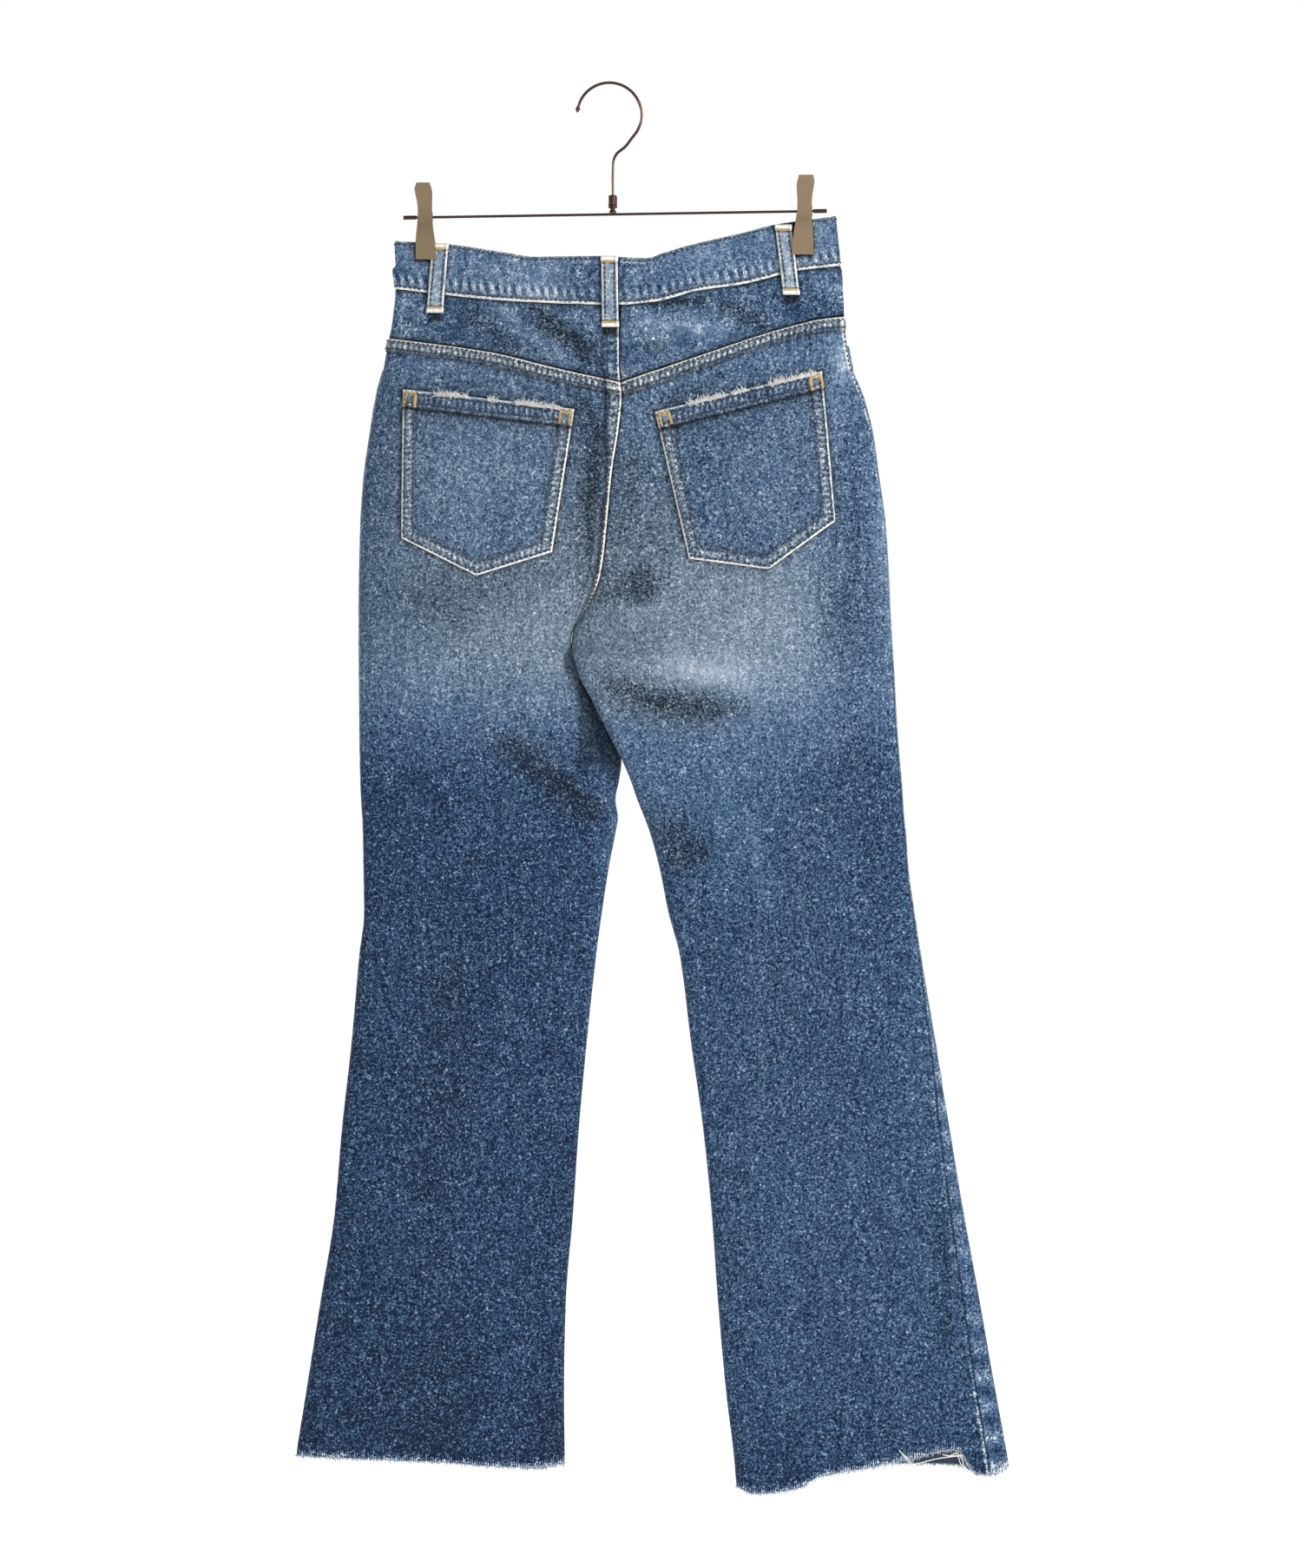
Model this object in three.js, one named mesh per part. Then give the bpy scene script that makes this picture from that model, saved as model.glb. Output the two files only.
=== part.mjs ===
// Flared jeans hung by the waistband from a metal clip hanger, back towards -Y. Millimetres, Z up.
// The origin is the inside top of the hanger's hook, where a rail carries it. +X is the wearer's right.
import * as THREE from 'three';

// Cloth
const DENIM = 1.4;                 // one layer of denim
const BAND_CLOTH = 2.4;            // the waistband's two layers
const SEAM_GAP = 0.3;              // between pieces that meet at a seam
const MIDDLE_GAP = 0.5;            // along the middle seams, which curve
const BAND_GAP = 0.7;              // under the waistband, whose lower edge curves
const EDGE_ROLL = 4;               // radius of the cloth as it turns at a side
const WAIST_ROLL = 2.8;            // the same where the clips press the waist flat
const BAND_PROUD = 0.5;            // the waistband stands out from the panels under it
const ROUNDNESS = 0.72;            // below 1 makes the tube's faces flatter and its sides rounder
const CROTCH = -458;               // height where the legs part
const CROTCH_DIP = -400;           // height where the middle seams start to turn in between the legs
const LEG_LAP = 12;                // how far one thigh stands before the other where they lap
const LAP_START = 16;              // height below the crotch over which the lap comes in
const LAP_END = -606;              // height where it has gone again
const LAP_FADE = 48;               // height over which it goes
const PRESSED_LEVEL = -190;        // above this the cloth is pressed to the waist's roll
const PRESSED_FADE = 60;           // height over which the roll opens below it
const HEM_LEVEL = -1135;           // height at which the hems are laid out

// Outline of the cloth, seen from behind: sides and, between the legs, both inner edges.
// Above the crotch both inner columns hold the middle back seam.
const OUTLINE = [
  { z: -105, left: -182, innerLeft: 4, innerRight: 4, right: 187.5 },
  { z: -150, left: -180, innerLeft: 5, innerRight: 5, right: 191.5 },
  { z: -175, left: -177.5, innerLeft: 6, innerRight: 6, right: 192.5 },
  { z: -217, left: -184.5, innerLeft: 6.4, innerRight: 6.4, right: 196 },
  { z: -232, left: -187, innerLeft: 6.4, innerRight: 6.4, right: 198.5 },
  { z: -260, left: -194.5, innerLeft: 8.6, innerRight: 8.6, right: 209 },
  { z: -288, left: -199, innerLeft: 6, innerRight: 6, right: 216 },
  { z: -324, left: -204, innerLeft: 0.5, innerRight: 0.5, right: 221 },
  { z: -360, left: -206.5, innerLeft: -3, innerRight: -3, right: 226 },
  { z: -405, left: -207.7, innerLeft: -8.6, innerRight: -8.6, right: 229 },
  { z: -428, left: -208, innerLeft: -18, innerRight: -18, right: 230 },
  { z: -447, left: -208, innerLeft: -30, innerRight: -30, right: 231 },
  { z: -458, left: -208, innerLeft: -32.8, innerRight: -32.5, right: 231.6 },
  { z: -488, left: -207.8, innerLeft: -17, innerRight: -25.7, right: 233.5 },
  { z: -506, left: -207.6, innerLeft: -6, innerRight: -16.4, right: 234.5 },
  { z: -533, left: -207.4, innerLeft: 4, innerRight: -3, right: 236 },
  { z: -558, left: -207, innerLeft: 8.5, innerRight: 9.6, right: 238 },
  { z: -574, left: -206.6, innerLeft: 6.4, innerRight: 16.4, right: 239.5 },
  { z: -589, left: -206, innerLeft: 3.6, innerRight: 21.5, right: 240.5 },
  { z: -604, left: -205, innerLeft: 5.7, innerRight: 27.5, right: 241.5 },
  { z: -617, left: -204.5, innerLeft: 3.6, innerRight: 32.2, right: 243 },
  { z: -646, left: -204, innerLeft: -2, innerRight: 40, right: 245 },
  { z: -682, left: -203.5, innerLeft: -7.5, innerRight: 47.2, right: 250 },
  { z: -717, left: -207.4, innerLeft: -12.2, innerRight: 56.5, right: 255.3 },
  { z: -789, left: -213.8, innerLeft: -20, innerRight: 65.8, right: 267.4 },
  { z: -860, left: -221.7, innerLeft: -26.5, innerRight: 75.8, right: 278.9 },
  { z: -932, left: -228, innerLeft: -31.5, innerRight: 83, right: 291 },
  { z: -1003, left: -239.5, innerLeft: -37.2, innerRight: 88, right: 303.9 },
  { z: -1075, left: -251, innerLeft: -38.6, innerRight: 94.4, right: 316.7 },
  { z: -1135, left: -260.5, innerLeft: -38, innerRight: 101.5, right: 327.5 },
  { z: -1170, left: -265, innerLeft: -38, innerRight: 104, right: 333 },
];

// How far the cloth's middle stands out to the back and to the front, and how much of that form
// is the soft hump between the clips instead of a rounded tube.
const DEPTH = [
  { z: -105, back: 9, front: 9, hump: 1 },
  { z: -150, back: 10, front: 10, hump: 1 },
  { z: -185, back: 13, front: 11, hump: 0.8 },
  { z: -232, back: 19, front: 12, hump: 0.2 },
  { z: -300, back: 25, front: 14, hump: 0 },
  { z: -360, back: 25, front: 15, hump: 0 },
  { z: -430, back: 21, front: 15, hump: 0 },
  { z: -500, back: 17, front: 14, hump: 0 },
  { z: -600, back: 13, front: 12, hump: 0 },
  { z: -700, back: 11, front: 10, hump: 0 },
  { z: -850, back: 9, front: 9, hump: 0 },
  { z: -1000, back: 10, front: 10, hump: 0 },
  { z: -1100, back: 13, front: 12, hump: 0 },
  { z: -1170, back: 15, front: 14, hump: 0 },
];
const HUMP_MIDDLE = 4;             // x of the hump's crest
const HUMP_REACH = 138;            // half its width

// The right outseam has swung round to the back: how far it lies in from the cloth's edge.
const OUTSEAM_INSET = [
  { z: -105, inset: 1.5 },
  { z: -700, inset: 2 },
  { z: -789, inset: 5 },
  { z: -860, inset: 8.6 },
  { z: -932, inset: 11.4 },
  { z: -1003, inset: 14 },
  { z: -1075, inset: 16.4 },
  { z: -1170, inset: 17.5 },
];

// Upper and lower edge of the waistband on the back, and the yoke's lower seam
const BAND_TOP = [
  { x: -183, z: -129.4 },
  { x: -161, z: -130.1 },
  { x: -135, z: -131.6 },
  { x: -84, z: -139.4 },
  { x: -60, z: -143 },
  { x: -9, z: -142.7 },
  { x: 31, z: -144.4 },
  { x: 45, z: -140.1 },
  { x: 69, z: -133 },
  { x: 111.5, z: -123 },
  { x: 139, z: -115.8 },
  { x: 190, z: -109 },
];
const BAND_BOTTOM = [
  { x: -181, z: -168.7 },
  { x: -60, z: -180.9 },
  { x: 6, z: -183 },
  { x: 36, z: -180.2 },
  { x: 69, z: -171.6 },
  { x: 111.5, z: -164.5 },
  { x: 155, z: -153.7 },
  { x: 193, z: -149.4 },
];
const YOKE_LEVEL = -218;           // height at which the yoke seam is laid out
const BAND_LEVEL = -168;           // height at which the waist's seam is laid out
const FRONT_DROP = 16;             // the front waist sags this much more than the back
const YOKE_SEAM = {
  left: [
    { x: -186, z: -209.5 },
    { x: -101.5, z: -221.7 },
    { x: -46, z: -235.2 },
    { x: 8, z: -248.2 },
  ],
  right: [
    { x: 5, z: -248.2 },
    { x: 76, z: -224 },
    { x: 140, z: -202.3 },
    { x: 174.5, z: -193.8 },
    { x: 196, z: -191.6 },
  ],
};

// Raw hems: height of the cut edge along x
const HEM_BACK_LEFT = [
  { x: -262, z: -1127.6 },
  { x: -146, z: -1131.8 },
  { x: -74, z: -1136 },
  { x: -37, z: -1134.7 },
];
const HEM_FRONT_LEFT = [
  { x: -262, z: -1127.6 },
  { x: -146, z: -1130 },
  { x: -60, z: -1141 },
  { x: -37, z: -1134.7 },
];
const HEM_BACK_RIGHT = [
  { x: 101, z: -1153 },
  { x: 113.7, z: -1158.5 },
  { x: 150, z: -1154 },
  { x: 169.5, z: -1144 },
  { x: 207, z: -1137 },
  { x: 246, z: -1129 },
  { x: 286, z: -1121.5 },
  { x: 299, z: -1142.5 },
  { x: 330, z: -1142.5 },
];
const HEM_FRONT_RIGHT = [
  { x: 101, z: -1153 },
  { x: 150, z: -1145 },
  { x: 207, z: -1137 },
  { x: 284, z: -1138 },
  { x: 297, z: -1142.5 },
  { x: 313, z: -1142.5 },
  { x: 330, z: -1134 },
];

// Largest folds: a trough (or with minus depth, a ridge) from one end to the other
const FOLDS = [
  { side: 'back', x0: -98, z0: -528, x1: 4, z1: -610, width: 15, depth: 5 },
  { side: 'back', x0: -24, z0: -490, x1: 108, z1: -526, width: 15, depth: 5 },
  { side: 'back', x0: 24, z0: -470, x1: 122, z1: -494, width: 16, depth: -4 },
  { side: 'back', x0: 36, z0: -596, x1: 76, z1: -655, width: 15, depth: 3.5 },
  { side: 'back', x0: 110, z0: -580, x1: 133, z1: -690, width: 12, depth: -2 },
  { side: 'back', x0: -66, z0: -188, x1: -8, z1: -226, width: 14, depth: 3 },
  { side: 'back', x0: 60, z0: -190, x1: 24, z1: -222, width: 13, depth: 2 },
  { side: 'front', x0: -120, z0: -500, x1: 0, z1: -575, width: 16, depth: 4.5 },
  { side: 'front', x0: 100, z0: -478, x1: -30, z1: -520, width: 15, depth: 4 },
  { side: 'front', x0: -100, z0: -352, x1: -36, z1: -430, width: 14, depth: 3 },
  { side: 'front', x0: 88, z0: -345, x1: 14, z1: -436, width: 15, depth: 3.5 },
  { side: 'front', x0: 150, z0: -640, x1: 128, z1: -760, width: 13, depth: -2 },
];

// Back patch pockets: top corners, lower corners and tip
const POCKETS = [
  {
    name: 'back_pocket_left',
    topLeft: [-170.6, -252.6], topRight: [-29.8, -269.8],
    lowRight: [-48, -386.6], tip: [-110.2, -405.9], lowLeft: [-171.9, -374.8],
  },
  {
    name: 'back_pocket_right',
    topLeft: [36, -271.9], topRight: [173.2, -237.6],
    lowRight: [184, -360.9], tip: [129.3, -400.5], lowLeft: [63.9, -392],
  },
];
const POCKET_HEM = 12;             // turned-over top of a pocket
const HEM_PROUD = 0.5;             // its extra thickness
const POCKET_HEIGHT = 120;
const POCKET_SEAT = 0.5;           // its inner face stands this far off the panel

// Belt loops: the middle of the upper and lower end
const LOOP_WIDTH = 13.5;
const LOOP_CLOTH = 1.6;
const LOOP_SEAT = 0.6;
const LOOP_BOW = 1;                // how far a loop's middle stands clear
const LOOP_STEP = 0.86;            // share of its length where it steps down from the waistband
const LOOP_STEP_REACH = 0.12;
const LOOPS = [
  { name: 'belt_loop_back_middle', side: 'back', topX: -1.4, topZ: -142.9, lowX: -0.4, lowZ: -202 },
  { name: 'belt_loop_back_left', side: 'back', topX: -140.5, topZ: -131.5, lowX: -145, lowZ: -189 },
  { name: 'belt_loop_back_right', side: 'back', topX: 141.5, topZ: -116, lowX: 148.5, lowZ: -174 },
  { name: 'belt_loop_front_left', side: 'front', topX: -88, topZ: -153, lowX: -90, lowZ: -211 },
  { name: 'belt_loop_front_right', side: 'front', topX: 92, topZ: -141, lowX: 95, lowZ: -199 },
];

// Front closing and pocket mouths
const FLY_WIDTH = 38;
const FLY_LENGTH = 150;
const FLY_CLOTH = 1.2;
const FLY_SEAT = 0.5;
const FLY_MIDDLE = -18;            // x at which its top is laid out
const FLY_TOP_GAP = 1.5;
const FLY_STRAIGHT = 0.62;         // share of its length before the rounded end starts
const FLY_CURVE = 0.4;
const FLY_ROUND = 0.94;
const BUTTON_RADIUS = 8.5;
const BUTTON_HEIGHT = 3.2;
const BUTTON_INSET = 14.95;        // from the waistband's upper end
const BUTTON_SEAT = 0.4;
const MOUTH_DEPTH = 65.934;        // how far a pocket mouth reaches down the outseam
const MOUTH_SHARE = 0.56;          // share of a front's width that it takes
const FACING_CLOTH = 1;
const FACING_LAP = 14;             // how far the facing goes on behind the front
const FACING_DEPTH = 0.5;          // gap between it and the front
const FACING_COLUMNS = 9;          // as many of the front's columns as it spans
const FACING_SPREAD = 0.92;
const MOUTH_ROUND = 0.8;           // below 1 makes the mouth's curve fuller

// Frayed hems
const STRANDS = 42;                // round each leg
const FRAY_CLOTH = 0.8;
const FRAY_ROOT = 1.4;             // height of the strip that the strands grow from
const FRAY_LONG = 3.4;
const FRAY_SHORT = 1.6;
const FRAY_GAP = 0.25;             // height of the fringe between two strands

// Clip hanger
const WIRE_RADIUS = 1.2;
const HOOK_RADIUS = 26.5;
const HOOK_MIDDLE = [-1.4, -25.3];
const SHANK_X = 1.3;
const TIP_BALL = 2.1;
const BAR_RADIUS = 1.1;
const BAR_LEFT = [-171.5, -110];
const BAR_RIGHT = [178, -104.4];
const STUB_RADIUS = 1.7;
const STUB_LENGTH = 11;
const BARREL_RADIUS = 4.4;
const BARREL_WIDTH = 12;
const CLIP_PLATE = 1.1;
const CLIPS = [
  {
    name: 'clip_left',
    rows: [
      { z: -82.2, left: -160, right: -149, swing: 9.5 },
      { z: -84.5, left: -161.8, right: -147.7, swing: 9.3 },
      { z: -103, left: -159, right: -147.7, swing: 4.8 },
      { z: -116, left: -159.4, right: -147, swing: 4.7 },
      { z: -130, left: -160.6, right: -145, swing: 4.4 },
      { z: -145, left: -160.6, right: -143.7, swing: 3.8 },
    ],
  },
  {
    name: 'clip_right',
    rows: [
      { z: -75.8, left: 154.4, right: 166.2, swing: 9.5 },
      { z: -78, left: 153, right: 167.6, swing: 9.3 },
      { z: -97, left: 153.7, right: 165.2, swing: 4.8 },
      { z: -110, left: 152.4, right: 165.2, swing: 4.7 },
      { z: -124, left: 150, right: 166.2, swing: 4.4 },
      { z: -141, left: 148.5, right: 166.7, swing: 3.8 },
    ],
  },
];
const CLIP_SETBACK = { back: 2.9, front: 0 };   // the plate over a belt loop stands further out
const CLIP_SETBACK_REACH = 14;     // height below the bar over which it moves out
const HOOK_FROM = 176;             // degrees round the hook from its tip to its bend
const HOOK_TO = -44;
const HOOK_STEP = 10;
const HOOK_BEND = [[11.6, -51.6], [4.6, -57.4], [1.8, -63.5], [1.3, -71], [1.3, -96.5]];
const SHANK_END = -97;
const TIP_POINT = 0.3;             // radius of the tip's very end
const BAR_CHAMFER = 0.4;

// Ferrule: radius and height above the bar's top
const FERRULE = [
  [3, 0], [3, 1.2], [2, 2.2], [2, 3.4], [3.9, 4], [3.9, 5.6], [3.3, 6], [3.7, 6.6], [3.7, 13.4], [3, 14.2],
];
const FERRULE_HEIGHT = 14.2;

const BACK = 'back';
const FRONT = 'front';
const DEGREES = Math.PI / 180;

const denim = { color: 0x4f7398, roughness: 0.9, metalness: 0 };
const denimDark = { color: 0x44678c, roughness: 0.9, metalness: 0 };
const denimPale = { color: 0x7f9db8, roughness: 0.9, metalness: 0 };
const frayed = { color: 0xc3d0dc, roughness: 0.95, metalness: 0 };
const nickel = { color: 0xa79e93, roughness: 0.32, metalness: 1 };
const copper = { color: 0xa9886a, roughness: 0.4, metalness: 1 };

const mix = (a, b, share) => a + (b - a) * share;
const clamp01 = (value) => Math.min(1, Math.max(0, value));
const ease = (value) => clamp01(value) ** 2 * (3 - 2 * clamp01(value));

// A named column of a table at some place along its key column, on a smooth curve through the rows
function lookUp(rows, key, at, column) {
  const rising = rows[rows.length - 1][key] > rows[0][key];
  const last = rows.length - 1;
  let i = 0;
  while (i < last - 1 && (rising ? at > rows[i + 1][key] : at < rows[i + 1][key])) i += 1;
  const a = rows[i];
  const b = rows[i + 1];
  const span = b[key] - a[key];
  const share = clamp01((at - a[key]) / span);
  const slope = (before, after) => (after[column] - before[column]) / (after[key] - before[key]);
  const here = slope(a, b);
  const start = i > 0 ? gentler(slope(rows[i - 1], a), here) : here;
  const end = i + 1 < last ? gentler(here, slope(b, rows[i + 2])) : here;
  const s2 = share * share;
  const s3 = s2 * share;
  return (2 * s3 - 3 * s2 + 1) * a[column] + (s3 - 2 * s2 + share) * span * start
    + (3 * s2 - 2 * s3) * b[column] + (s3 - s2) * span * end;
}

// The slope at a row between two stretches, flat where they turn back, so that no curve overshoots
function gentler(one, other) {
  return one * other <= 0 ? 0 : (2 * one * other) / (one + other);
}

function foldDepth(side, x, z) {
  let sum = 0;
  for (const fold of FOLDS) {
    if (fold.side !== side) continue;
    const dx = fold.x1 - fold.x0;
    const dz = fold.z1 - fold.z0;
    const length = Math.hypot(dx, dz);
    const along = ((x - fold.x0) * dx + (z - fold.z0) * dz) / length ** 2;
    const across = ((x - fold.x0) * dz - (z - fold.z0) * dx) / length;
    const fade = ease(clamp01(along) * 4) * ease((1 - clamp01(along)) * 4);
    sum += fold.depth * fade * Math.exp(-((across / fold.width) ** 2));
  }
  return sum;
}

// Roll radius of the cloth's base curve: the pressed waist is tighter than the rest
const rollAt = (z) => mix(WAIST_ROLL, EDGE_ROLL, ease((PRESSED_LEVEL - z) / PRESSED_FADE));

// The flattened tube at a height: the whole hips, or one leg
function tubeAt(part, z) {
  const row = (column) => lookUp(OUTLINE, 'z', z, column);
  return {
    part,
    z,
    left: part === 'right' ? row('innerRight') : row('left'),
    right: part === 'left' ? row('innerLeft') : row('right'),
    roll: rollAt(z),
    back: lookUp(DEPTH, 'z', z, 'back'),
    front: lookUp(DEPTH, 'z', z, 'front'),
    hump: lookUp(DEPTH, 'z', z, 'hump'),
  };
}

// Where the thighs lap, the right one stands towards the back and the left one towards the front
function lapShift(tube, across) {
  if (tube.part === 'hips') return 0;
  const strength = ease((CROTCH - tube.z) / LAP_START) * ease((tube.z - LAP_END) / LAP_FADE);
  const inward = tube.part === 'left' ? (1 + across) / 2 : (1 - across) / 2;
  const way = tube.part === 'left' ? 1 : -1;
  return way * LEG_LAP * strength * inward ** 4;
}

// Base curve of a tube: angle 0 is its +X side, 90 the middle of the back, 180 its -X side
function basePoint(tube, angle) {
  const middle = (tube.left + tube.right) / 2;
  const half = (tube.right - tube.left) / 2 - tube.roll;
  const across = Math.cos(angle * DEGREES);
  const rise = Math.sin(angle * DEGREES);
  const side = rise > 0 ? BACK : FRONT;
  const x = middle + half * across;
  const round = Math.abs(rise) ** ROUNDNESS;
  const humped = Math.max(0, 1 - ((x - HUMP_MIDDLE) / HUMP_REACH) ** 2) ** 1.5;
  const out = tube[side] * mix(round, humped, tube.hump) - foldDepth(side, x, tube.z) * Math.abs(rise);
  const way = side === BACK ? -1 : 1;
  return { x, y: way * out + lapShift(tube, across) };
}

// A point at a distance outside the base curve
function tubePoint(tube, angle, out) {
  const step = 0.5;
  const here = basePoint(tube, angle);
  const before = basePoint(tube, angle - step);
  const after = basePoint(tube, angle + step);
  const dx = after.x - before.x;
  const dy = after.y - before.y;
  const length = Math.hypot(dx, dy);
  return new THREE.Vector3(here.x - (dy / length) * out, here.y + (dx / length) * out, tube.z);
}

// The angle at which a tube's outer face reaches an x on the back, or as far round on the front
function angleAt(tube, x, side) {
  const middle = (tube.left + tube.right) / 2;
  const half = (tube.right - tube.left) / 2 - tube.roll;
  const angle = Math.acos(Math.min(1, Math.max(-1, (x - middle) / half))) / DEGREES;
  return side === BACK ? angle : -angle;
}

// The right outseam's angle on a tube
function outseamAngle(tube) {
  const edge = tube.right - lookUp(OUTSEAM_INSET, 'z', tube.z, 'inset');
  let low = 0;
  let high = 60;
  for (let i = 0; i < 24; i += 1) {
    const angle = (low + high) / 2;
    if (tubePoint(tube, angle, tube.roll).x > edge) low = angle;
    else high = angle;
  }
  return low;
}

// Degrees that a length takes up round a tube at an angle
function degreesFor(tube, angle, length) {
  const one = tubePoint(tube, angle - 0.5, tube.roll);
  const other = tubePoint(tube, angle + 0.5, tube.roll);
  return length / one.distanceTo(other);
}

// A point on a panel: u runs from the outseam (0) to the middle seam or inseam (1)
function panelPoint(panel, u, z, inwards) {
  const hips = panelOn(tubeAt('hips', z), panel, u, inwards);
  const turn = ease((CROTCH_DIP - z) / (CROTCH_DIP - CROTCH));
  if (turn === 0) return hips;
  const leg = panelOn(tubeAt(panel.leg, z), panel, u, inwards);
  return turn === 1 ? leg : hips.lerp(leg, turn);
}

function panelOn(tube, panel, u, inwards) {
  const turned = panel.side === BACK ? 1 : -1;
  const start = panel.leg === 'left' ? turned * 180 : outseamAngle(tube);
  const end = innerAngle(tube, panel);
  const way = Math.sign(end - start);
  const from = start + way * degreesFor(tube, start, SEAM_GAP / 2);
  const to = end - way * degreesFor(tube, end, MIDDLE_GAP / 2);
  return tubePoint(tube, mix(from, to, u), tube.roll - inwards);
}

function innerAngle(tube, panel) {
  if (tube.part === 'left') return 0;
  if (tube.part === 'right') return panel.side === BACK ? 180 : -180;
  return angleAt(tube, lookUp(OUTLINE, 'z', tube.z, 'innerLeft'), panel.side);
}

// A closed geometry from a grid of columns and rows with an outer and an inner face.
// A ring's last column meets its first again.
function wall(columns, rows, outer, inner, ring = false) {
  const across = ring ? columns : columns + 1;
  const positions = [];
  for (const face of [outer, inner]) {
    for (let j = 0; j <= rows; j += 1) {
      for (let i = 0; i < across; i += 1) positions.push(...face(i / columns, j / rows, i, j));
    }
  }
  const id = (face, i, j) => face * (rows + 1) * across + j * across + (i % across);
  const index = [];
  const quad = (a, b, c, d) => index.push(a, b, c, a, c, d);
  for (let i = 0; i < columns; i += 1) {
    for (let j = 0; j < rows; j += 1) {
      quad(id(0, i, j), id(0, i + 1, j), id(0, i + 1, j + 1), id(0, i, j + 1));
      quad(id(1, i, j), id(1, i, j + 1), id(1, i + 1, j + 1), id(1, i + 1, j));
    }
    quad(id(0, i, 0), id(1, i, 0), id(1, i + 1, 0), id(0, i + 1, 0));
    quad(id(0, i, rows), id(0, i + 1, rows), id(1, i + 1, rows), id(1, i, rows));
  }
  for (let j = 0; j < rows && !ring; j += 1) {
    quad(id(0, 0, j), id(0, 0, j + 1), id(1, 0, j + 1), id(1, 0, j));
    quad(id(0, columns, j), id(1, columns, j), id(1, columns, j + 1), id(0, columns, j + 1));
  }
  const geometry = new THREE.BufferGeometry();
  geometry.setAttribute('position', new THREE.Float32BufferAttribute(positions, 3));
  geometry.setIndex(signedVolume(positions, index) < 0 ? turnedOver(index) : index);
  return geometry;
}

function signedVolume(positions, index) {
  const corner = (k) => new THREE.Vector3().fromArray(positions, 3 * index[k]);
  let sum = 0;
  for (let k = 0; k < index.length; k += 3) {
    sum += corner(k).dot(corner(k + 1).cross(corner(k + 2)));
  }
  return sum;
}

function turnedOver(index) {
  const turned = [];
  for (let k = 0; k < index.length; k += 3) turned.push(index[k], index[k + 2], index[k + 1]);
  return turned;
}

const group = new THREE.Group();

function add(name, geometry, look) {
  const mesh = new THREE.Mesh(geometry, new THREE.MeshStandardMaterial(look));
  mesh.name = name;
  group.add(mesh);
  return mesh;
}

const bandBottom = (side, x) => lookUp(BAND_BOTTOM, 'x', x, 'z') - frontSag(side, x);
const bandTop = (side, x) => lookUp(BAND_TOP, 'x', x, 'z') - frontSag(side, x);
const yokeSeam = (leg, x) => lookUp(YOKE_SEAM[leg], 'x', x, 'z');

// The front waist hangs lower between the clips
function frontSag(side, x) {
  if (side === BACK) return 0;
  return FRONT_DROP * Math.max(0, 1 - ((x - HUMP_MIDDLE) / HUMP_REACH) ** 2) ** 2;
}

// Heights of a long panel's rows. Both panels at a seam share them, so that their edges match.
const PANEL_ROWS = [
  -195, -215, -232, -246, -260, -288, -324, -360, -400, -418, -434, -447, -458, -473, -490, -507, -524,
  -541, -558, -575, -592, -612, -640, -690, -750, -815, -880, -945, -1010, -1065, -1105, -1140,
];
const PANEL_COLUMNS = 14;
const ROW_LEAST = 4;               // rows crowd this close below a panel's slanting top
const ROW_CLEARANCE = 6;           // the first shared row lies at least this far below a top
const HEM_REACH = 60;              // height over which they follow its hem

function rowHeight(heights, j, top, bottom) {
  const last = heights[heights.length - 1];
  const fromBottom = ease(1 - (heights[j] - last) / HEM_REACH);
  const level = heights[j] + (bottom - last) * fromBottom;
  return j === 0 ? top : Math.min(level, top - ROW_LEAST * j);
}

// x of a panel's outer face at a share of its width and a height
const panelX = (panel, u, z) => panelPoint(panel, u, z, 0).x;

const HEMS = {
  back: { left: HEM_BACK_LEFT, right: HEM_BACK_RIGHT },
  front: { left: HEM_FRONT_LEFT, right: HEM_FRONT_RIGHT },
};

function hemHeight(panel, u) {
  return lookUp(HEMS[panel.side][panel.leg], 'x', panelX(panel, u, HEM_LEVEL), 'z');
}

// How far the pocket mouth cuts down into a front
function mouthDrop(u) {
  if (u >= MOUTH_SHARE) return 0;
  return MOUTH_DEPTH * (1 - (u / MOUTH_SHARE) ** 2) ** MOUTH_ROUND;
}

const yokeHeight = (panel, u) => yokeSeam(panel.leg, panelX(panel, u, YOKE_LEVEL));

function panelTop(panel, u) {
  if (panel.side === BACK) return yokeHeight(panel, u) - SEAM_GAP;
  return bandBottom(FRONT, panelX(panel, u, BAND_LEVEL)) - BAND_GAP - mouthDrop(u);
}

function makePanel(panel) {
  const tops = Array.from({ length: PANEL_COLUMNS + 1 }, (_, i) => panelTop(panel, i / PANEL_COLUMNS));
  const top = Math.max(...tops);
  const heights = [top, ...PANEL_ROWS.filter((z) => z < top - ROW_CLEARANCE)];
  const height = (u, j) => rowHeight(heights, j, panelTop(panel, u), hemHeight(panel, u));
  const face = (inwards) => (u, v, i, j) => panelPoint(panel, u, height(u, j), inwards);
  const cloth = wall(PANEL_COLUMNS, heights.length - 1, face(0), face(DENIM));
  add(`${panel.side}_${panel.leg}`, cloth, denim);
}

const PANELS = [
  { side: BACK, leg: 'left' },
  { side: BACK, leg: 'right' },
  { side: FRONT, leg: 'left' },
  { side: FRONT, leg: 'right' },
];

function makeYoke(leg) {
  const panel = { side: BACK, leg };
  const height = (u, v) => {
    const top = bandBottom(BACK, panelX(panel, u, BAND_LEVEL)) - BAND_GAP;
    return mix(top, yokeHeight(panel, u), v);
  };
  const face = (inwards) => (u, v) => panelPoint(panel, u, height(u, v), inwards);
  add(`yoke_${leg}`, wall(PANEL_COLUMNS, 3, face(0), face(DENIM)), denimDark);
}

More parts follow.
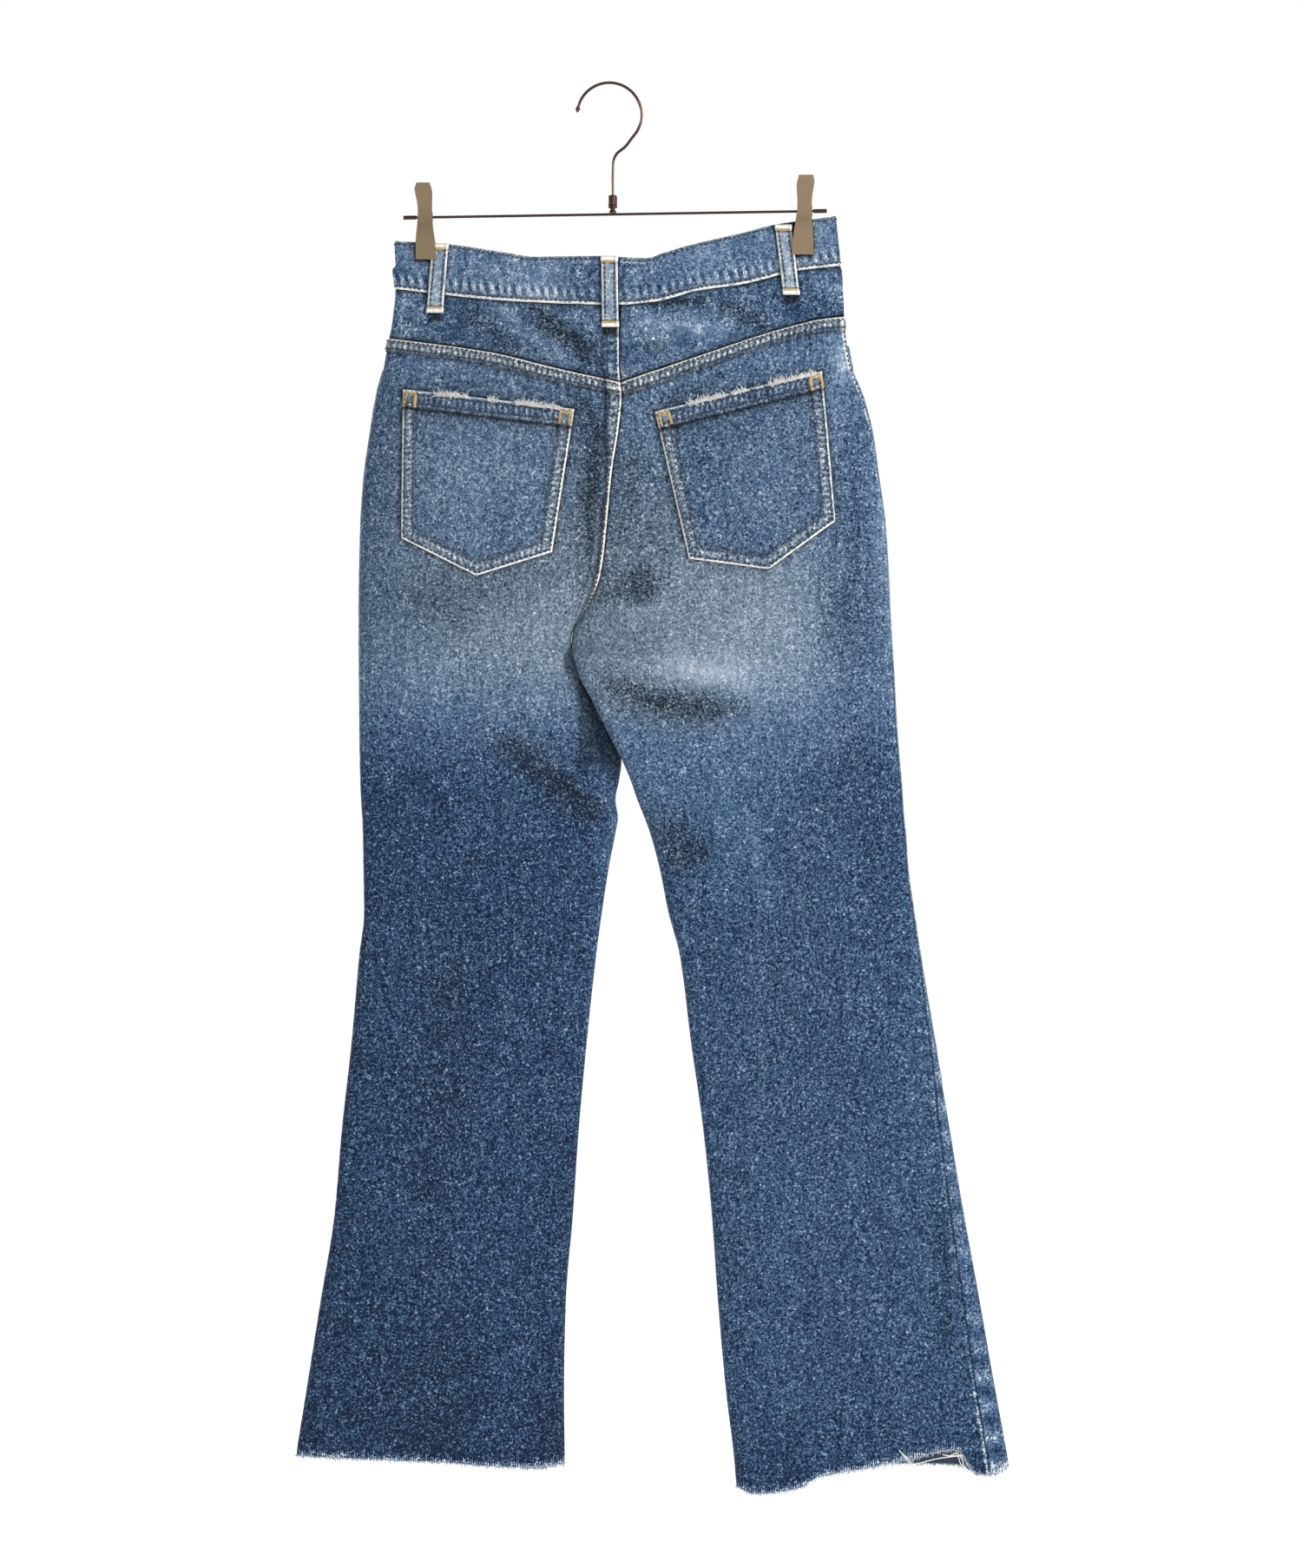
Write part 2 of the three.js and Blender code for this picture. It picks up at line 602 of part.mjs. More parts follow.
// Pocket facing: lies inside the front's layer, from the waistband down past the mouth
function makeFacing(leg) {
  const panel = { side: FRONT, leg };
  const inside = DENIM + FACING_DEPTH;
  const wide = FACING_COLUMNS / PANEL_COLUMNS;
  const height = (u, v) => {
    const top = bandBottom(FRONT, panelX(panel, u, BAND_LEVEL)) - BAND_GAP;
    return mix(top, top - mouthDrop(u * FACING_SPREAD) - FACING_LAP, v);
  };
  const face = (inwards) => (u, v) => panelPoint(panel, u * wide, height(u * wide, v), inwards);
  const cloth = wall(FACING_COLUMNS, 6, face(inside), face(inside + FACING_CLOTH));
  add(`pocket_facing_${leg}`, cloth, denimDark);
}

// Waistband: runs from the under end at the front, round the +X side, the back and the -X side
const BAND_START = -98;
const BAND_END = 274.5;
const LAP_RAMP = 16;               // degrees over which an end moves in or out of the lap

function bandPoint(u, share, inwards) {
  const angle = mix(BAND_START, BAND_END, u);
  const side = angle > 0 && angle < 180 ? BACK : FRONT;
  const level = tubeAt('hips', BAND_LEVEL);
  const x = tubePoint(level, angle, level.roll).x;
  const z = mix(bandTop(side, x), bandBottom(side, x), share);
  const tube = tubeAt('hips', z);
  const under = ease((-90 + LAP_RAMP - angle) / LAP_RAMP);
  const over = ease((angle - 270 + LAP_RAMP) / LAP_RAMP);
  const lap = (over - under) * (BAND_CLOTH + SEAM_GAP) / 2;
  return tubePoint(tube, angle, tube.roll + BAND_PROUD + lap - inwards);
}

function makeWaistband() {
  const face = (inwards) => (u, v) => bandPoint(u, v, inwards);
  add('waistband', wall(72, 1, face(0), face(BAND_CLOTH)), denim);
}

// The outer face of whatever lies at an x and z on one side of the hips
function surfaceY(side, x, z) {
  const tube = tubeAt('hips', z);
  const leg = x < lookUp(OUTLINE, 'z', z, 'innerLeft') ? 'left' : 'right';
  const turn = ease((CROTCH_DIP - z) / (CROTCH_DIP - CROTCH));
  const wide = tubePoint(tube, angleAt(tube, x, side), tube.roll).y;
  if (turn === 0) return wide;
  const thigh = tubeAt(leg, z);
  return mix(wide, tubePoint(thigh, angleAt(thigh, x, side), thigh.roll).y, turn);
}

function makeBackPocket(pocket) {
  const columns = 10;
  const rows = 8;
  const corner = (name) => new THREE.Vector2(...pocket[name]);
  const place = (u, v) => {
    const left = corner('topLeft').lerp(corner('lowLeft'), v);
    const right = corner('topRight').lerp(corner('lowRight'), v);
    const across = left.clone().lerp(right, u);
    const middle = corner('lowLeft').lerp(corner('lowRight'), 0.5);
    const tipDrop = corner('tip').sub(middle).multiplyScalar(1 - Math.abs(2 * u - 1));
    return across.add(tipDrop.multiplyScalar(v ** 2));
  };
  const face = (out) => (u, v) => {
    const at = place(u, v);
    const thicker = out > DENIM && v * POCKET_HEIGHT < POCKET_HEM ? HEM_PROUD : 0;
    return new THREE.Vector3(at.x, surfaceY(BACK, at.x, at.y) - out - thicker, at.y);
  };
  add(pocket.name, wall(columns, rows, face(POCKET_SEAT + DENIM), face(POCKET_SEAT)), denim);
}

function makeBeltLoop(loop) {
  const way = loop.side === BACK ? -1 : 1;
  const rows = 8;
  const face = (out) => (u, v) => {
    const x = mix(loop.topX, loop.lowX, v) + (u - 0.5) * LOOP_WIDTH;
    const z = mix(loop.topZ, loop.lowZ, v);
    const bow = LOOP_BOW * Math.sin(v * Math.PI);
    const seat = mix(BAND_PROUD, 0, ease((v - LOOP_STEP) / LOOP_STEP_REACH)) + LOOP_SEAT;
    return new THREE.Vector3(x, surfaceY(loop.side, x, z) + way * (seat + bow + out), z);
  };
  add(loop.name, wall(2, rows, face(LOOP_CLOTH), face(0)), denimPale);
}

// Fly lap: a doubled strip on the wearer's left of the front seam, rounded off at its lower end
function makeFlyLap() {
  const rows = 9;
  const face = (out) => (u, v) => {
    const top = bandBottom(FRONT, FLY_MIDDLE) - FLY_TOP_GAP;
    const z = top - FLY_LENGTH * v;
    const width = FLY_WIDTH * Math.sqrt(1 - FLY_ROUND * ease((v - FLY_STRAIGHT) / FLY_CURVE) ** 2);
    const x = lookUp(OUTLINE, 'z', z, 'innerLeft') + 1 - width * (1 - u);
    return new THREE.Vector3(x, surfaceY(FRONT, x, z) + out, z);
  };
  add('fly_lap', wall(4, rows, face(FLY_SEAT + FLY_CLOTH), face(FLY_SEAT)), denim);
}

function lathe(profile, sides) {
  const points = profile.map(([radius, height]) => new THREE.Vector2(radius, height));
  const geometry = new THREE.LatheGeometry(points, sides);
  geometry.deleteAttribute('normal');
  geometry.deleteAttribute('uv');
  return geometry;
}

function makeButton() {
  const profile = [
    [0, 0], [BUTTON_RADIUS * 0.5, 0], [BUTTON_RADIUS * 0.55, BUTTON_HEIGHT * 0.4],
    [BUTTON_RADIUS * 0.94, BUTTON_HEIGHT * 0.5], [BUTTON_RADIUS, BUTTON_HEIGHT * 0.75],
    [BUTTON_RADIUS * 0.9, BUTTON_HEIGHT], [0, BUTTON_HEIGHT],
  ];
  const button = add('waist_button', lathe(profile, 20), copper);
  const end = bandPoint(1, 0.5, 0);
  button.position.set(end.x - BUTTON_INSET, end.y + BUTTON_SEAT, end.z);
}

// A share between 0 and 1 that wanders from one strand to the next
const unevenShare = (i) => 0.5 + 0.5 * Math.sin(i * 2.3 + Math.sin(i * 0.7) * 3);

// Frayed hem: a narrow strip that follows both panels' cut edges, with strands of uneven length
function makeFray(leg) {
  const columns = 2 * STRANDS;
  const front = { side: FRONT, leg };
  const back = { side: BACK, leg };
  const below = (panel, column, drop, inwards) => {
    const u = column / PANEL_COLUMNS;
    return panelPoint(panel, u, hemHeight(panel, u) - SEAM_GAP - drop, inwards);
  };
  const place = (u, drop, inwards) => {
    const panel = u < 0.5 ? back : front;
    const column = PANEL_COLUMNS * (u < 0.5 ? 1 - 2 * u : 2 * u - 1);
    const first = Math.min(Math.floor(column), PANEL_COLUMNS - 1);
    const one = below(panel, first, drop, inwards);
    return one.lerp(below(panel, first + 1, drop, inwards), column - first);
  };
  const length = (i) => mix(FRAY_SHORT, FRAY_LONG, unevenShare(i));
  const drops = (v, i) => {
    if (v < 0.4) return 0;
    if (v < 0.8) return FRAY_ROOT;
    return i % 2 === 0 ? FRAY_ROOT + FRAY_GAP : FRAY_ROOT + length(i);
  };
  const face = (inwards) => (u, v, i) => place(u, drops(v, i), inwards);
  const middle = (DENIM - FRAY_CLOTH) / 2;
  add(`hem_fray_${leg}`, wall(columns, 2, face(middle), face(middle + FRAY_CLOTH), true), frayed);
}

function hookPath() {
  const points = [];
  for (let angle = HOOK_FROM; angle >= HOOK_TO; angle -= HOOK_STEP) {
    const x = HOOK_MIDDLE[0] + HOOK_RADIUS * Math.cos(angle * DEGREES);
    const z = HOOK_MIDDLE[1] + HOOK_RADIUS * Math.sin(angle * DEGREES);
    points.push(new THREE.Vector3(x, 0, z));
  }
  for (const [x, z] of HOOK_BEND) points.push(new THREE.Vector3(x, 0, z));
  return new THREE.CatmullRomCurve3(points, false, 'centripetal');
}

// A round bar along a curve, with closed ends
function rod(path, radius, steps, sides) {
  const frames = path.computeFrenetFrames(steps, false);
  const positions = [];
  const index = [];
  for (let j = 0; j <= steps; j += 1) {
    const middle = path.getPointAt(j / steps);
    const size = typeof radius === 'function' ? radius(j / steps) : radius;
    for (let i = 0; i < sides; i += 1) {
      const angle = (i / sides) * 2 * Math.PI;
      const point = middle.clone();
      point.addScaledVector(frames.normals[j], Math.cos(angle) * size);
      point.addScaledVector(frames.binormals[j], Math.sin(angle) * size);
      positions.push(point.x, point.y, point.z);
    }
  }
  const near = positions.length / 3;
  positions.push(...path.getPointAt(0), ...path.getPointAt(1));
  for (let i = 0; i < sides; i += 1) {
    const next = (i + 1) % sides;
    for (let j = 0; j < steps; j += 1) {
      const a = j * sides;
      const b = a + sides;
      index.push(a + i, a + next, b + next, a + i, b + next, b + i);
    }
    index.push(near, next, i, near + 1, steps * sides + i, steps * sides + next);
  }
  const geometry = new THREE.BufferGeometry();
  geometry.setAttribute('position', new THREE.Float32BufferAttribute(positions, 3));
  geometry.setIndex(signedVolume(positions, index) < 0 ? turnedOver(index) : index);
  return geometry;
}

// The ball tip is a swelling at the wire's free end
function makeHook() {
  const path = hookPath();
  const length = path.getLength();
  const size = (share) => {
    const along = share * length;
    const ball = TIP_BALL ** 2 - (along - TIP_BALL) ** 2;
    if (along < TIP_BALL) return Math.sqrt(Math.max(ball, TIP_POINT ** 2));
    return Math.max(Math.sqrt(Math.max(ball, 0)), WIRE_RADIUS);
  };
  add('hanger_hook', rod(path, size, 60, 8), nickel);
}

const barHeight = (x) => mix(BAR_LEFT[1], BAR_RIGHT[1], (x - BAR_LEFT[0]) / (BAR_RIGHT[0] - BAR_LEFT[0]));

function makeFerrule() {
  const seat = barHeight(SHANK_X) + BAR_RADIUS + SEAM_GAP;
  const bore = WIRE_RADIUS + SEAM_GAP;
  const outside = FERRULE.map(([radius, height]) => [radius, seat + height]);
  const inside = [[bore, seat + FERRULE_HEIGHT], [bore, SHANK_END], [0, SHANK_END]];
  const profile = [[0, seat], ...outside, ...inside];
  const ferrule = add('hanger_ferrule', lathe(profile, 16), nickel);
  ferrule.position.x = SHANK_X;
  ferrule.rotation.x = Math.PI / 2;
}

function makeBar() {
  const start = new THREE.Vector3(BAR_LEFT[0], 0, BAR_LEFT[1]);
  const end = new THREE.Vector3(BAR_RIGHT[0], 0, BAR_RIGHT[1]);
  const length = start.distanceTo(end);
  const profile = [
    [0, 0], [STUB_RADIUS, BAR_CHAMFER], [STUB_RADIUS, STUB_LENGTH],
    [BAR_RADIUS, STUB_LENGTH + BAR_CHAMFER], [BAR_RADIUS, length - STUB_LENGTH - BAR_CHAMFER],
    [STUB_RADIUS, length - STUB_LENGTH], [STUB_RADIUS, length - BAR_CHAMFER], [0, length],
  ];
  const bar = add('hanger_bar', lathe(profile, 12), nickel);
  bar.position.copy(start);
  bar.quaternion.setFromUnitVectors(new THREE.Vector3(0, 1, 0), end.sub(start).normalize());
}

function makeClip(clip) {
  for (const [label, way, setback] of [[BACK, -1, CLIP_SETBACK.back], [FRONT, 1, CLIP_SETBACK.front]]) {
    const at = (v, column) => lookUp(clip.rows, 'z', clipHeight(clip, v), column);
    const face = (out) => (u, v) => {
      const below = barHeight(at(v, 'left')) - clipHeight(clip, v);
      const press = setback * ease(below / CLIP_SETBACK_REACH);
      const y = way * (at(v, 'swing') + press + out);
      return new THREE.Vector3(mix(at(v, 'left'), at(v, 'right'), u), y, clipHeight(clip, v));
    };
    add(`${clip.name}_${label}_plate`, wall(3, 12, face(CLIP_PLATE), face(0)), nickel);
  }
  makeBarrel(clip);
}

function clipHeight(clip, v) {
  const last = clip.rows[clip.rows.length - 1];
  return mix(clip.rows[0].z, last.z, v);
}

// Spring barrel between a clip's plates, round the bar
function makeBarrel(clip) {
  const hole = BAR_RADIUS + SEAM_GAP;
  const profile = [
    [hole, 0], [BARREL_RADIUS, 0], [BARREL_RADIUS, BARREL_WIDTH], [hole, BARREL_WIDTH], [hole, 0],
  ];
  const barrel = add(`${clip.name}_barrel`, lathe(profile, 14), nickel);
  const x = clip.rows[2].left;
  const along = new THREE.Vector3(BAR_RIGHT[0] - BAR_LEFT[0], 0, BAR_RIGHT[1] - BAR_LEFT[1]).normalize();
  barrel.position.set(x, 0, barHeight(x));
  barrel.quaternion.setFromUnitVectors(new THREE.Vector3(0, 1, 0), along);
}

makeHook();
makeFerrule();
makeBar();
CLIPS.forEach(makeClip);
makeWaistband();
['left', 'right'].forEach(makeYoke);
PANELS.forEach(makePanel);
['left', 'right'].forEach(makeFacing);
POCKETS.forEach(makeBackPocket);
LOOPS.forEach(makeBeltLoop);
makeFlyLap();
makeButton();
['left', 'right'].forEach(makeFray);

export default group;
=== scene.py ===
"""Flared jeans hung from a clip hanger, seen from behind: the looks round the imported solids.

The cloth is laid out in millimetres, with the back towards -Y and +X on the wearer's right.
Each mesh is made in metres.
"""
import math

import bpy
import numpy as np
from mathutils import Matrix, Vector
from mathutils.bvhtree import BVHTree


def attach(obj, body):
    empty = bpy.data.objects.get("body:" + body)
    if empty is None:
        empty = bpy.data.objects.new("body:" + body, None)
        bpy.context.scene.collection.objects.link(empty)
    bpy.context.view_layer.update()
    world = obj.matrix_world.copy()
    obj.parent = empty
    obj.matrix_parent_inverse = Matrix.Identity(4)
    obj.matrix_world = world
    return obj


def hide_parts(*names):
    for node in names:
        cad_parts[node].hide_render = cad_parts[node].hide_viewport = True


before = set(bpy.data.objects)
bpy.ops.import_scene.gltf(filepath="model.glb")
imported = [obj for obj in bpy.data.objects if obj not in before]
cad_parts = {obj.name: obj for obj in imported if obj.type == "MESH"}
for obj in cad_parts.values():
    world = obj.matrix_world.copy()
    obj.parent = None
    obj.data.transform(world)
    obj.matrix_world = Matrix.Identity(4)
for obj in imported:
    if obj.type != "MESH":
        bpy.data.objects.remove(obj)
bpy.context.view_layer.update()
MM = 0.001

# The photograph's frame, and how it sees the object
PHOTO_HEIGHT = 1806
PHOTO_SCALE = 0.715                # mm of the object for one pixel
PHOTO_MIDDLE = (32.9, -576.3)      # x and z in the middle of the frame
CAMERA_DISTANCE = 4000
SENSOR = 24

# Cloth
DENIM = 1.4
BAND_CLOTH = 2.4
EDGE_ROLL = 4
WAIST_ROLL = 2.8
BAND_PROUD = 0.5
ROUNDNESS = 0.72
CROTCH = -458
CROTCH_DIP = -400
LEG_LAP = 12
LAP_START = 16
LAP_END = (-606, 48)
HUMP_MIDDLE = 4
HUMP_REACH = 138
YOKE_LEVEL = -218
BAND_LEVEL = -168
HEM_LEVEL = -1135
FRONT_DROP = 16

# Outline of the cloth: z, left side, inner edge of the left leg, of the right leg, right side
OUTLINE = [
    (-105, -182, 4, 4, 187.5), (-150, -180, 5, 5, 191.5), (-175, -177.5, 6, 6, 192.5),
    (-217, -184.5, 6.4, 6.4, 196), (-232, -187, 6.4, 6.4, 198.5), (-260, -194.5, 8.6, 8.6, 209),
    (-288, -199, 6, 6, 216), (-324, -204, 0.5, 0.5, 221), (-360, -206.5, -3, -3, 226),
    (-405, -207.7, -8.6, -8.6, 229), (-428, -208, -18, -18, 230), (-447, -208, -30, -30, 231),
    (-458, -208, -32.8, -32.5, 231.6), (-488, -207.8, -17, -25.7, 233.5),
    (-506, -207.6, -6, -16.4, 234.5), (-533, -207.4, 4, -3, 236), (-558, -207, 8.5, 9.6, 238),
    (-574, -206.6, 6.4, 16.4, 239.5), (-589, -206, 3.6, 21.5, 240.5), (-604, -205, 5.7, 27.5, 241.5),
    (-617, -204.5, 3.6, 32.2, 243), (-646, -204, -2, 40, 245), (-682, -203.5, -7.5, 47.2, 250),
    (-717, -207.4, -12.2, 56.5, 255.3), (-789, -213.8, -20, 65.8, 267.4),
    (-860, -221.7, -26.5, 75.8, 278.9), (-932, -228, -31.5, 83, 291), (-1003, -239.5, -37.2, 88, 303.9),
    (-1075, -251, -38.6, 94.4, 316.7), (-1135, -260.5, -38, 101.5, 327.5), (-1170, -265, -38, 104, 333),
]

# How far the cloth stands out: z, to the back, to the front, and its share of soft hump
DEPTH = [
    (-105, 9, 9, 1), (-150, 10, 10, 1), (-185, 13, 11, 0.8), (-232, 19, 12, 0.2), (-300, 25, 14, 0),
    (-360, 25, 15, 0), (-430, 21, 15, 0), (-500, 17, 14, 0), (-600, 13, 12, 0), (-700, 11, 10, 0),
    (-850, 9, 9, 0), (-1000, 10, 10, 0), (-1100, 13, 12, 0), (-1170, 15, 14, 0),
]
OUTSEAM_INSET = [
    (-105, 1.5), (-700, 2), (-789, 5), (-860, 8.6), (-932, 11.4), (-1003, 14), (-1075, 16.4),
    (-1170, 17.5),
]

# Heights of the seams and hems along x
BAND_TOP = [
    (-183, -129.4), (-161, -130.1), (-135, -131.6), (-84, -139.4), (-60, -143), (-9, -142.7),
    (31, -144.4), (45, -140.1), (69, -133), (111.5, -123), (139, -115.8), (190, -109),
]
BAND_BOTTOM = [
    (-181, -168.7), (-60, -180.9), (6, -183), (36, -180.2), (69, -171.6), (111.5, -164.5), (155, -153.7),
    (193, -149.4),
]
YOKE_SEAM = {
    "left": [
        (-186, -209.5), (-101.5, -221.7), (-46, -235.2), (8, -248.2),
    ],
    "right": [
        (5, -248.2), (76, -224), (140, -202.3), (174.5, -193.8), (196, -191.6),
    ],
}
HEMS = {
    ("back", "left"): [
        (-262, -1127.6), (-146, -1131.8), (-74, -1136), (-37, -1134.7),
    ],
    ("front", "left"): [
        (-262, -1127.6), (-146, -1130), (-60, -1141), (-37, -1134.7),
    ],
    ("back", "right"): [
        (101, -1153), (113.7, -1158.5), (150, -1154), (169.5, -1144), (207, -1137), (246, -1129),
        (286, -1121.5), (299, -1142.5), (330, -1142.5),
    ],
    ("front", "right"): [
        (101, -1153), (150, -1145), (207, -1137), (284, -1138), (297, -1142.5), (313, -1142.5),
        (330, -1134),
    ],
}

# Folds of each side: x and z at both ends, width, and depth of the trough, or less than 0 for a ridge
FOLDS = {
    "back": [
        (-98, -528, 4, -610, 15, 5), (-24, -490, 108, -526, 15, 5), (24, -470, 122, -494, 16, -4),
        (36, -596, 76, -655, 15, 3.5), (110, -580, 133, -690, 12, -2), (-66, -188, -8, -226, 14, 3),
        (60, -190, 24, -222, 13, 2),
    ],
    "front": [
        (-120, -500, 0, -575, 16, 4.5), (100, -478, -30, -520, 15, 4), (-100, -352, -36, -430, 14, 3),
        (88, -345, 14, -436, 15, 3.5), (150, -640, 128, -760, 13, -2),
    ],
}

# Back patch pockets: top left, top right, lower right, tip and lower left corner
POCKETS = {
    "left": [(-170.6, -252.6), (-29.8, -269.8), (-48, -386.6), (-110.2, -405.9), (-171.9, -374.8)],
    "right": [(36, -271.9), (173.2, -237.6), (184, -360.9), (129.3, -400.5), (63.9, -392)],
}

# Belt loops: side, x and z of the upper end and of the lower end
LOOPS = {
    "back_middle": ("back", -1.4, -142.9, -0.4, -202),
    "back_left": ("back", -140.5, -131.5, -145, -189),
    "back_right": ("back", 141.5, -116, 148.5, -174),
    "front_left": ("front", -88, -153, -90, -211),
    "front_right": ("front", 92, -141, 95, -199),
}
LOOP_WIDTH = 13.5
LOOP_CLOTH = 1.6
LOOP_SEAT = 0.6
LOOP_BOW = 1


# Smooth steps and curves

def ease(value):
    share = np.clip(value, 0, 1)
    return share * share * (3 - 2 * share)


def mix(one, other, share):
    return one + (other - one) * share


def bell(distance, width):
    return np.exp(-((distance / width) ** 2))


def smooth_curve(rows, column=1):
    """A curve through one column of a table, that never overshoots its rows."""
    table = np.array(sorted(rows), float)
    keys = table[:, 0]
    values = table[:, column]
    slopes = np.diff(values) / np.diff(keys)
    before = slopes[:-1]
    after = slopes[1:]
    turning = before * after <= 0
    inner = np.where(turning, 0, 2 * before * after / np.where(turning, 1, before + after))
    tangents = np.concatenate([slopes[:1], inner, slopes[-1:]])

    def at(where):
        i = np.clip(np.searchsorted(keys, where) - 1, 0, len(keys) - 2)
        span = keys[i + 1] - keys[i]
        share = np.clip((where - keys[i]) / span, 0, 1)
        square = share * share
        cube = square * share
        return (
            (2 * cube - 3 * square + 1) * values[i]
            + (cube - 2 * square + share) * span * tangents[i]
            + (3 * square - 2 * cube) * values[i + 1]
            + (cube - square) * span * tangents[i + 1]
        )

    return at


left_edge = smooth_curve(OUTLINE, 1)
inner_left = smooth_curve(OUTLINE, 2)
inner_right = smooth_curve(OUTLINE, 3)
right_edge = smooth_curve(OUTLINE, 4)
back_depth = smooth_curve(DEPTH, 1)
front_depth = smooth_curve(DEPTH, 2)
hump_share = smooth_curve(DEPTH, 3)
outseam_inset = smooth_curve(OUTSEAM_INSET)
band_top = smooth_curve(BAND_TOP)
band_bottom = smooth_curve(BAND_BOTTOM)
yoke_seam = {leg: smooth_curve(rows) for leg, rows in YOKE_SEAM.items()}
hem_line = {place: smooth_curve(rows) for place, rows in HEMS.items()}


def wander(along, seed, period):
    """A smooth uneven line between -1 and 1, the same on each run."""
    draws = np.random.default_rng(seed).uniform(-1, 1, 400)
    place = along / period + 150
    i = np.clip(np.floor(place).astype(int), 0, 398)
    return mix(draws[i], draws[i + 1], ease(place - i))


def rumple(x, z, seed, wide, tall):
    """Smooth uneven relief between -1 and 1, with hollows of that width and height."""
    draws = np.random.default_rng(seed).uniform(-1, 1, (120, 120))
    across = x / wide + 50
    up = z / tall + 100
    i = np.clip(np.floor(across).astype(int), 0, 118)
    j = np.clip(np.floor(up).astype(int), 0, 118)
    s = ease(across - i)
    t = ease(up - j)
    return mix(mix(draws[i, j], draws[i + 1, j], s), mix(draws[i, j + 1], draws[i + 1, j + 1], s), t)


# The form of the jeans: flattened tubes, the whole hips or one leg

def along_fold(x, z, x0, z0, x1, z1, width, sharp=1.0):
    """1 along a line, fading to 0 at its ends and beside it, over a narrower width on its left."""
    dx = x1 - x0
    dz = z1 - z0
    length = math.hypot(dx, dz)
    along = np.clip(((x - x0) * dx + (z - z0) * dz) / length**2, 0, 1)
    across = ((x - x0) * dz - (z - z0) * dx) / length
    widths = np.where(across < 0, width * sharp, width)
    return ease(along * 4) * ease((1 - along) * 4) * bell(across, widths)


def fold_depth(side, x, z):
    total = np.zeros(np.broadcast(x, z).shape)
    for x0, z0, x1, z1, width, depth in FOLDS[side] + CREASES[side]:
        total += depth * along_fold(x, z, x0, z0, x1, z1, width)
    return total - soft_waves(side, x, z)


def soft_waves(side, x, z):
    """The slack of the cloth: long upright waves in the legs, shallower ones over the seat."""
    seed = 3 if side == "back" else 9
    leg = ease((-z - 420) / 200)
    waves = rumple(x, z, seed, 46, 190) * mix(0.5, 1.5, leg)
    waves += rumple(x + 0.25 * z, z, seed + 1, 21, 75) * mix(0.35, 0.4, leg)
    waves += rumple(x, z, seed + 2, 11, 16) * 0.16
    return waves * ease((-z - 175) / 40)


def roll_at(z):
    return mix(WAIST_ROLL, EDGE_ROLL, ease((-z - 190) / 60))


def tube_sides(part, z):
    left = inner_right(z) if part == "right" else left_edge(z)
    right = inner_left(z) if part == "left" else right_edge(z)
    return left, right


def tube_middle(part, z):
    left, right = tube_sides(part, z)
    return (left + right) / 2, (right - left) / 2 - roll_at(z)


def lap_shift(part, z, across):
    """Where the thighs lap, the right one stands towards the back, the left one to the front."""
    if part == "hips":
        return 0
    strength = ease((CROTCH - z) / LAP_START) * ease((z - LAP_END[0]) / LAP_END[1])
    inward = (1 + across) / 2 if part == "left" else (1 - across) / 2
    way = 1 if part == "left" else -1
    return way * LEG_LAP * strength * inward**4


def base_point(part, z, angle):
    middle, half = tube_middle(part, z)
    across = np.cos(angle)
    rise = np.sin(angle)
    back = rise > 0
    x = middle + half * across
    full = np.where(back, back_depth(z), front_depth(z))
    humped = np.maximum(0, 1 - ((x - HUMP_MIDDLE) / HUMP_REACH) ** 2) ** 1.5
    form = mix(np.abs(rise) ** ROUNDNESS, humped, hump_share(z))
    folds = np.where(back, fold_depth("back", x, z), fold_depth("front", x, z))
    out = full * form - folds * np.abs(rise)
    return x, np.where(back, -1, 1) * out + lap_shift(part, z, across)


def tube_point(part, z, angle, out):
    """Points round a tube at an angle (0 at +X, a quarter turn at the back) and outside its base."""
    step = math.radians(0.5)
    x, y = base_point(part, z, angle)
    x0, y0 = base_point(part, z, angle - step)
    x1, y1 = base_point(part, z, angle + step)
    dx = x1 - x0
    dy = y1 - y0
    length = np.hypot(dx, dy)
    return np.stack([x - dy / length * out, y + dx / length * out, z + 0 * x], axis=-1)


def angle_at(part, z, x, side):
    middle, half = tube_middle(part, z)
    angle = np.arccos(np.clip((x - middle) / half, -1, 1))
    return angle if side == "back" else -angle


def outseam_table(part):
    """Angle of the right outseam by height, found by halving."""
    z = np.linspace(-1175, -100, 260)
    edge = right_edge(z) - outseam_inset(z)
    low = np.zeros_like(z)
    high = np.full_like(z, math.radians(60))
    for _ in range(22):
        middle = (low + high) / 2
        outside = tube_point(part, z, middle, roll_at(z))[:, 0] > edge
        low = np.where(outside, middle, low)
        high = np.where(outside, high, middle)
    return z, low


def surface_y(side, x, z):
    """y of the cloth's outer face at an x and z on one side."""
    x = np.asarray(x, float)
    z = np.asarray(z, float)
    wide = tube_point("hips", z, angle_at("hips", z, x, side), roll_at(z))[..., 1]
    turn = ease((CROTCH_DIP - z) / (CROTCH_DIP - CROTCH))
    on_left = tube_point("left", z, angle_at("left", z, x, side), roll_at(z))[..., 1]
    on_right = tube_point("right", z, angle_at("right", z, x, side), roll_at(z))[..., 1]
    thigh = np.where(x < inner_left(z), on_left, on_right)
    return mix(wide, thigh, turn)


def front_sag(side, x):
    if side == "back":
        return 0 * x
    return FRONT_DROP * np.maximum(0, 1 - ((x - HUMP_MIDDLE) / HUMP_REACH) ** 2) ** 2


# Panels: u runs from the outseam to the middle seam or inseam

EVENNESS = 0.5                     # how far columns move from the sides towards the middle


